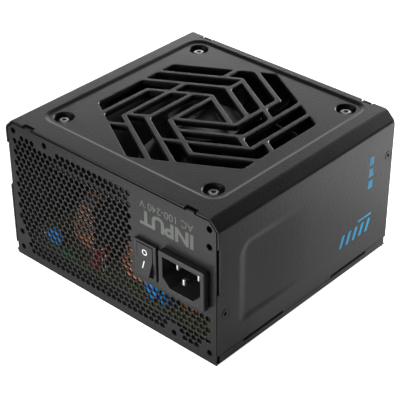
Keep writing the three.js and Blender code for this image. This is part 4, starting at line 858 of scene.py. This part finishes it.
def skin_of(curve):
    """A bmesh of a curve's or a text's own surface; the curve isn't kept."""
    holder = bpy.data.objects.new(curve.name, curve)
    bpy.context.scene.collection.objects.link(holder)
    bpy.context.view_layer.update()
    graph = bpy.context.evaluated_depsgraph_get()
    mesh = bpy.data.meshes.new_from_object(holder.evaluated_get(graph))
    bpy.data.objects.remove(holder)
    bpy.data.curves.remove(curve)
    bm = bmesh.new()
    bm.from_mesh(mesh)
    bpy.data.meshes.remove(mesh)
    return bm


def wire_along(points, radius, cyclic, sides=1):
    """A bmesh of a round wire along these points, in millimetres."""
    line = bpy.data.curves.new("wire", "CURVE")
    line.dimensions = "3D"
    line.bevel_depth = radius * MM
    line.bevel_resolution = sides
    line.use_fill_caps = not cyclic
    run = line.splines.new("POLY")
    run.points.add(len(points) - 1)
    for point, at in zip(run.points, points):
        point.co = (*(Vector(at) * MM), 1.0)
    run.use_cyclic_u = cyclic
    bm = skin_of(line)
    bmesh.ops.remove_doubles(bm, verts=bm.verts, dist=0.001 * MM)
    bmesh.ops.recalc_face_normals(bm, faces=bm.faces)
    return bm


TURN_STEPS = 20
TURN_SQUARENESS = 0.45
CORE_CHAMFER = 0.6


def ring_choke(name, node, centre, axis, radius, bore, width, wire, turns):
    """A ring core wound with enamelled wire, turn by turn, round its whole circle."""
    mid = (radius + bore) / 2
    half = (radius - bore) / 2 - wire
    high = width / 2 - wire
    points = []
    for step in range(turns * TURN_STEPS):
        phase = 2 * math.pi * step / TURN_STEPS
        angle = phase / turns
        c, s = math.cos(phase), math.sin(phase)
        out = mid + half * math.copysign(abs(c) ** TURN_SQUARENESS, c)
        z = high * math.copysign(abs(s) ** TURN_SQUARENESS, s)
        points.append((out * math.cos(angle), out * math.sin(angle), z))
    place = standing(centre, axis)
    bm = wire_along(points, wire, True)
    bm.transform(place)
    piece(f"{name}_winding", bm, [COPPER.material], stands_for=[node], sharp=70)
    bm = bmesh.new()
    low, up = bore + 2 * wire, radius - 2 * wire
    deep = width / 2 - 2 * wire
    flat = deep - CORE_CHAMFER
    turned(bm, [
        (low, -flat), (low, flat), (low + CORE_CHAMFER, deep), (up - CORE_CHAMFER, deep), (up, flat),
        (up, -flat), (up - CORE_CHAMFER, -deep), (low + CORE_CHAMFER, -deep), (low, -flat),
    ], 64)
    bmesh.ops.recalc_face_normals(bm, faces=bm.faces)
    bm.transform(place)
    piece(f"{name}_core", bm, [CORE])


ring_choke("boost_choke", "boost_choke", (-28, -44, 30.3), (1, 0, 0), 19, 7, 18, 0.62, 38)
ring_choke("line_choke", "line_choke", (8, -49.5, 25.8), (1, 0, 0), 14.5, 6, 14, 0.55, 34)
ring_choke("inlet_choke", "inlet_choke", (47, -47, 17.3), (0, 0, 1), 13, 5.5, 12, 0.5, 34)

from_cad("fan_stator_winding", "fan_stator", COPPER.material, 0.3)

BLUE_ENAMEL = moulded("blue_enamel", (0.002, 0.25, 0.80, 1.0), 0.3, grain=1.5, depth=0.03)
RED_ENAMEL = moulded("red_enamel", (0.45, 0.012, 0.015, 1.0), 0.32, grain=1.5, depth=0.03)
GREEN_CASE = moulded("green_case_plastic", (0.01, 0.12, 0.03, 1.0), 0.4)
TINNED = plated_metal("tinned_wire", (0.66, 0.66, 0.64, 1.0), 0.28)


def dipped_disc(name, stands_for, centre, axis, radius, thick, material):
    """A disc dipped in enamel, which leaves it lens-shaped, with a soft round edge."""
    bm = bmesh.new()
    h = thick / 2
    turned(bm, [
        (0, h), (radius * 0.55, h), (radius * 0.8, h * 0.86), (radius * 0.94, h * 0.5), (radius, 0),
        (radius * 0.94, -h * 0.5), (radius * 0.8, -h * 0.86), (radius * 0.55, -h), (0, -h),
    ], 36)
    bmesh.ops.recalc_face_normals(bm, faces=bm.faces)
    bm.transform(standing(centre, axis))
    piece(name, bm, [material], stands_for=stands_for, sharp=60)


DISC_Y, DISC_Z = -61.5, 16.8
for number, side, x, axis in (
    (1, "left", -51, (0, 1, 0)), (2, "middle", 22, (0, 1, 0)), (3, "right", 32.5, (1, 0, 0)),
):
    dipped_disc(
        f"disc_capacitor_{side}", [f"disc_capacitor_{number}"], (x, DISC_Y, DISC_Z), axis,
        radius=5.4, thick=4, material=BLUE_ENAMEL,
    )
dipped_disc(
    "red_varistor", [], (-16.0, -61.0, 19.5), (1, 0, 0),
    radius=7.0, thick=3.0, material=RED_ENAMEL,
)


def block(bm, centre, size, lean=0.0):
    """A block of this size about this centre, in millimetres; lean shears it along Y as it rises."""
    sheared = Matrix.Identity(4)
    sheared[1][2] = lean
    scaled = Matrix.Diagonal((*(Vector(size) * MM), 1))
    place = Matrix.Translation(Vector(centre) * MM) @ sheared @ scaled
    bmesh.ops.create_cube(bm, size=1.0, matrix=place)


def along_x(bm, thick):
    """The edges of a plate that cross its thickness, which lies along X."""
    return [e for e in bm.edges if abs(e.verts[0].co.x - e.verts[1].co.x) > 0.9 * thick * MM]


# Painted shade: a dark sheet of the insulating film stands beside the boost choke's right face, put
# there only to make that face dark as if it lay in shadow.
SHADE_SHEET_THICKNESS = 0.5
bm = bmesh.new()
block(bm, (-18.2, -44.5, 31.0), (SHADE_SHEET_THICKNESS, 38, 39.4))
rounded(bm, along_x(bm, SHADE_SHEET_THICKNESS), 3.0, 5)
piece("choke_shade_sheet", bm, [film.material])
bm = bmesh.new()
block(bm, (-36.5, -65.2, 13.3), (11, 2.6, 4))
rounded(bm, bm.edges[:], 0.5, 3)
piece("green_film_capacitor", bm, [GREEN_CASE])

STANDING_LEAD_RADIUS = 0.35
for side, run in (
    ("left", [(-63, -64.5, 17), (-60.5, -64.6, 19.6), (-52, -64.6, 28.2), (-49, -64.5, 30)]),
    ("middle", [(-11.8, -64, 11.2), (-11.8, -64, 20), (-12.2, -64, 27), (-11.4, -63.4, 28.2)]),
    ("right", [(-9.6, -64, 11.2), (-9.6, -64, 19), (-9.3, -64, 25.5), (-9.9, -63.4, 27.6)]),
):
    bm = wire_along(run, STANDING_LEAD_RADIUS, False, 3)
    piece(f"standing_lead_{side}", bm, [TINNED], sharp=60)

TAPE = moulded("yellow_tape", (0.38, 0.22, 0.02, 1.0), 0.42, grain=2.0, depth=0.05)
SLEEVE = moulded("capacitor_sleeve", (0.012, 0.013, 0.02, 1.0), 0.3, grain=3.0)
CAN_TOP = plated_metal("capacitor_can_top", (0.7, 0.7, 0.7, 1.0), 0.35)
from_cad("film_capacitor_case", "film_capacitor", TAPE, 0.8)
from_cad("main_transformer_taped", "main_transformer", TAPE, 0.8)
from_cad("standby_transformer_taped", "standby_transformer", TAPE, 0.6)


BOARD_TOP = 11.3


def can(name, node, x, y, radius, height):
    """An electrolytic can: a rolled groove near its foot, a sleeve shrunk over its rim, a bare top."""
    bm = bmesh.new()
    turned(bm, [
        (0, 0), (radius - 0.6, 0), (radius - 0.05, 0.5), (radius - 0.05, 1.6), (radius - 0.55, 2.2),
        (radius - 0.05, 2.8), (radius - 0.05, height - 0.9), (radius - 0.5, height - 0.25),
        (radius - 1.4, height - 0.1), (radius - 1.8, height - 0.5), (0, height - 0.5),
    ], 48)
    bmesh.ops.recalc_face_normals(bm, faces=bm.faces)
    for face in bm.faces:
        at = middle(face)
        if at.z > height - 0.6 and math.hypot(at.x, at.y) < radius - 1.5:
            face.material_index = 1
    bm.transform(Matrix.Translation(Vector((x, y, BOARD_TOP)) * MM))
    piece(name, bm, [SLEEVE, CAN_TOP], stands_for=[node])


can("bulk_capacitor_can", "bulk_capacitor", -50, -12, 15, 40)
for number, x in enumerate((0, 14, 28), 1):
    can(f"output_capacitor_can_{number}", f"output_capacitor_{number}", x, 43, 5, 21)

ALUMINIUM = Finish("bare_aluminium", Metallic=1.0)
drawn = ALUMINIUM.place.stretched(1.0, 0.03, 1.0).noise(0.3, detail=3.0)
ALUMINIUM.put("Base Color", drawn.blend(grey(0.5), grey(0.72)))
ALUMINIUM.put("Roughness", drawn * 0.2 + 0.28)
ALUMINIUM.put("Normal", drawn.bump(0.01))
from_cad("primary_heatsink_extrusion", "primary_heatsink", ALUMINIUM.material, 0.25)
from_cad("secondary_heatsink_extrusion", "secondary_heatsink", ALUMINIUM.material, 0.25)

# ---- Leads -----------------------------------------------
# Stranded copper wires in PVC insulation, from the inlet and the switch to the board, and from the
# fan to the board.

for name, node, colour in (
    ("live_lead_a", "live_lead_to_switch", (0.10, 0.035, 0.015, 1.0)),
    ("live_lead_b", "live_lead_to_board", (0.10, 0.035, 0.015, 1.0)),
    ("neutral_lead_insulation", "neutral_lead", (0.01, 0.07, 0.30, 1.0)),
    ("earth_lead_insulation", "earth_lead", (0.02, 0.22, 0.04, 1.0)),
    ("fan_lead_insulation", "fan_lead", (0.015, 0.015, 0.015, 1.0)),
):
    from_cad(name, node, moulded(f"{name}_pvc", colour, 0.38, grain=0.8), 0.0, sharp=60)

# ---- Output sockets --------------------------------------
# Eight moulded sockets for detachable leads, in two rows through the front wall, soldered to their
# board. Each has two rows of contact towers inside its shroud.

CONTACT_PITCH = 4.2
SOCKET_BACK = 61.6
SOCKET_FACE = 69.6
TOWER = 3.7
TOWER_HOLE = 2.3
TOWER_DEPTH = 5.5
SHROUD_WALL = 1.2
CONTACT_SINK = 3.4
CONTACT_SIZE = (1.5, 4, 1.5)
SOCKET_PLASTIC = moulded("black_connector_plastic", (0.014, 0.014, 0.0145, 1.0), 0.42, grain=0.5)
CONTACT = plated_metal("tin_contact", (0.66, 0.64, 0.58, 1.0), 0.3)

sockets = [n for n in sorted(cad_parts) if n.startswith("socket_") and n != "socket_circuit_board"]
for node in sockets:
    from_cad(f"{node}_shroud", node, SOCKET_PLASTIC, 0.3)
    low, high = (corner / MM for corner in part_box(node))
    count = round((high.x - low.x - 2 * SHROUD_WALL) / CONTACT_PITCH)
    towers, metal = bmesh.new(), bmesh.new()
    for column in range(count):
        for row in (-0.5, 0.5):
            x = (low.x + high.x) / 2 + CONTACT_PITCH * (column - (count - 1) / 2)
            z = (low.z + high.z) / 2 + CONTACT_PITCH * row
            seat = standing((x, SOCKET_FACE, z), (0, 1, 0))
            bmesh.ops.create_grid(towers, x_segments=1, y_segments=1, size=TOWER / 2 * MM, matrix=seat)
            block(metal, (x, SOCKET_FACE - CONTACT_SINK, z), CONTACT_SIZE)
    fronts = towers.faces[:]
    bmesh.ops.inset_individual(towers, faces=fronts, thickness=(TOWER - TOWER_HOLE) / 2 * MM)
    bores = bmesh.ops.extrude_discrete_faces(towers, faces=fronts)["faces"]
    ends = list({v for f in bores for v in f.verts})
    bmesh.ops.translate(towers, verts=ends, vec=(0, -TOWER_DEPTH * MM, 0))
    rims = [e for e in towers.edges if e.is_boundary]
    backs = bmesh.ops.extrude_edge_only(towers, edges=rims)["geom"]
    backs = [v for v in backs if isinstance(v, bmesh.types.BMVert)]
    bmesh.ops.translate(towers, verts=backs, vec=(0, (SOCKET_BACK - SOCKET_FACE) * MM, 0))
    bmesh.ops.holes_fill(towers, edges=[e for e in towers.edges if e.is_boundary], sides=4)
    bmesh.ops.recalc_face_normals(towers, faces=towers.faces)
    rounded(metal, metal.edges[:], 0.2, 1)
    piece(f"{node}_towers", towers, [SOCKET_PLASTIC], eased=0.15)
    piece(f"{node}_contacts", metal, [CONTACT])

# ---- Printed marks ---------------------------------------
# Screen-printed ink on the powder coat: plain grey words over the inlet, and plain blue bars on the
# right side. The words are generic and the bars stand for nothing.

INK_LIFT = 0.02
grey_ink = Finish("grey_print_ink", Roughness=0.5)
faded = grey_ink.place.noise(0.6)
grey_ink.put("Base Color", faded.blend((0.08, 0.088, 0.077, 1.0), (0.12, 0.13, 0.115, 1.0)))
blue_ink = Finish("blue_print_ink", Roughness=0.45, Specular_IOR_Level=0.3)
faded = blue_ink.place.noise(0.6)
blue_ink.put("Base Color", faded.blend((0.002, 0.34, 0.66, 1.0), (0.004, 0.42, 0.78, 1.0)))


def words(name, text, low, high, weight):
    """Plain lettering on the mains panel, upside down as the case stands, filling this rectangle."""
    made = bpy.data.curves.new(name, "FONT")
    made.body = text
    made.offset = weight
    made.extrude = 0.01
    bm = skin_of(made)
    bmesh.ops.remove_doubles(bm, verts=bm.verts, dist=1e-5)
    xs = [v.co.x for v in bm.verts]
    ys = [v.co.y for v in bm.verts]
    wide, tall = max(xs) - min(xs), max(ys) - min(ys)
    for vert in bm.verts:
        across = (vert.co.x - min(xs)) / wide
        rise = (vert.co.y - min(ys)) / tall
        proud = INK_LIFT if vert.co.z > 0 else -INK_LIFT
        vert.co = Vector((
            high[0] - across * (high[0] - low[0]), REAR_Y - proud, high[1] - rise * (high[1] - low[1]),
        )) * MM
    bmesh.ops.recalc_face_normals(bm, faces=bm.faces)
    piece(name, bm, [grey_ink.material])


WORDS_LEFT, WORDS_RIGHT = 23.4, 58.9
words("input_word", "INPUT", (WORDS_LEFT, 63.4), (WORDS_RIGHT, 72.0), 0.035)
words("input_range_words", "AC 100-240 V", (WORDS_LEFT, 73.3), (WORDS_RIGHT, 77.5), 0.0)

INK_THICKNESS = 2 * INK_LIFT
BAR_CORNER = 0.35
bars = [(51.2, z, 3.7, 5.0, 0.0) for z in (64.4, 57.2, 50.0)]
bars.append((47.9, 30.5, 11.8, 1.2, 0.0))
bars += [(y, 24.2, 2.2, 7.4, 0.35) for y in (51.0, 45.4, 39.8, 34.2, 28.6)]
bm = bmesh.new()
for y, z, wide, tall, lean in bars:
    block(bm, (SIDE_X, y, z), (INK_THICKNESS, wide, tall), lean)
rounded(bm, along_x(bm, INK_THICKNESS), BAR_CORNER, 3, clamp=True)
piece("side_bars", bm, [blue_ink.material])

# ---- Stage -----------------------------------------------
# A pale floor, soft lights, and a camera that sees the mains panel, the top and the right side. Only
# the camera sees the floor glow, so it lights nothing.

FLOOR_SIZE = 40.0
floor_finish = Finish("stage_floor", Roughness=0.9, Specular_IOR_Level=0.0, Emission_Strength=0.9)
seen = floor_finish.place.node("LightPath")
floor_finish.put("Emission Color", seen.blend(grey(0.0), grey(1.0)))
floor_finish.put("Base Color", floor_finish.place.noise(400.0).blend(grey(0.62), grey(0.66)))
bm = bmesh.new()
bmesh.ops.create_grid(bm, x_segments=1, y_segments=1, size=FLOOR_SIZE / 2)
floor_mesh = bpy.data.meshes.new("stage_floor")
bm.to_mesh(floor_mesh)
bm.free()
floor_mesh.materials.append(floor_finish.material)
floor = bpy.data.objects.new("stage_floor", floor_mesh)
bpy.context.scene.collection.objects.link(floor)

world = bpy.data.worlds.new("studio")
world.use_nodes = True
sky = world.node_tree.nodes["Background"].inputs
sky["Color"].default_value = grey(1.0)
sky["Strength"].default_value = 0.02
bpy.context.scene.world = world
bpy.context.scene.view_settings.view_transform = "Standard"


def softbox(name, place, aim, size, power):
    """A flat area light standing at one place and turned towards another, both in metres."""
    lamp = bpy.data.lights.new(name, "AREA")
    lamp.shape = "RECTANGLE"
    lamp.size, lamp.size_y = size
    lamp.energy = power
    made = bpy.data.objects.new(name, lamp)
    made.location = Vector(place)
    made.rotation_mode = "QUATERNION"
    made.rotation_quaternion = (Vector(place) - Vector(aim)).to_track_quat("Z", "Y")
    bpy.context.scene.collection.objects.link(made)


softbox("overhead_softbox", (0.186, -0.206, 1.62), (0, 0, 0.04), (1.8, 1.8), 3.5)
softbox("back_softbox", (-0.38, 0.42, 0.24), (0, 0, 0.08), (0.8, 0.10), 1.3)
softbox("back_right_softbox", (0.02, 0.66, 0.20), (0, 0, 0.06), (0.4, 0.2), 6.0)
softbox("back_high_softbox", (-0.60, 0.66, 0.90), (0, 0, 0.08), (0.8, 0.8), 0.6)
softbox("left_softbox", (-0.336, -0.583, 0.236), (0, 0, 0.04), (0.4, 0.3), 0.9)
softbox("low_front_softbox", (0.0, -0.24, 0.10), (0.0, -0.24, 0), (0.15, 0.2), 0.8)
softbox("low_right_softbox", (0.17, 0.245, 0.06), (0.17, 0.245, 0), (0.2, 0.31), 0.7)
softbox("floor_strip_light", (0.092, 0.01, 0.02), (0.092, 0.01, 0), (0.03, 0.11), 0.012)

VIEW_AZIMUTH = math.radians(42.427)
VIEW_ELEVATION = math.radians(33.177)
VIEW_ROLL = math.radians(-0.386)
VIEW_DISTANCE = 719.90
VIEW_ACROSS = 0.435
VIEW_UP = 8.926
VIEW_CENTRE = Vector((0, 0, 43))
VIEW_FIELD = 1329.53 / 400
SENSOR = 36
back = Vector((
    math.sin(VIEW_AZIMUTH) * math.cos(VIEW_ELEVATION),
    -math.cos(VIEW_AZIMUTH) * math.cos(VIEW_ELEVATION),
    math.sin(VIEW_ELEVATION),
))
right = Vector((math.cos(VIEW_AZIMUTH), math.sin(VIEW_AZIMUTH), 0))
up = back.cross(right)
across = right * math.cos(VIEW_ROLL) + up * math.sin(VIEW_ROLL)
upward = up * math.cos(VIEW_ROLL) - right * math.sin(VIEW_ROLL)
place = VIEW_CENTRE + back * VIEW_DISTANCE - across * VIEW_ACROSS - upward * VIEW_UP
lens = bpy.data.cameras.new("camera")
lens.sensor_width = SENSOR
lens.lens = SENSOR * VIEW_FIELD
lens.clip_start = 0.01
lens.clip_end = 20
camera = bpy.data.objects.new("camera", lens)
turn = Matrix((across, upward, back)).transposed()
camera.matrix_world = Matrix.Translation(place * MM) @ turn.to_4x4()
bpy.context.scene.collection.objects.link(camera)
bpy.context.scene.camera = camera
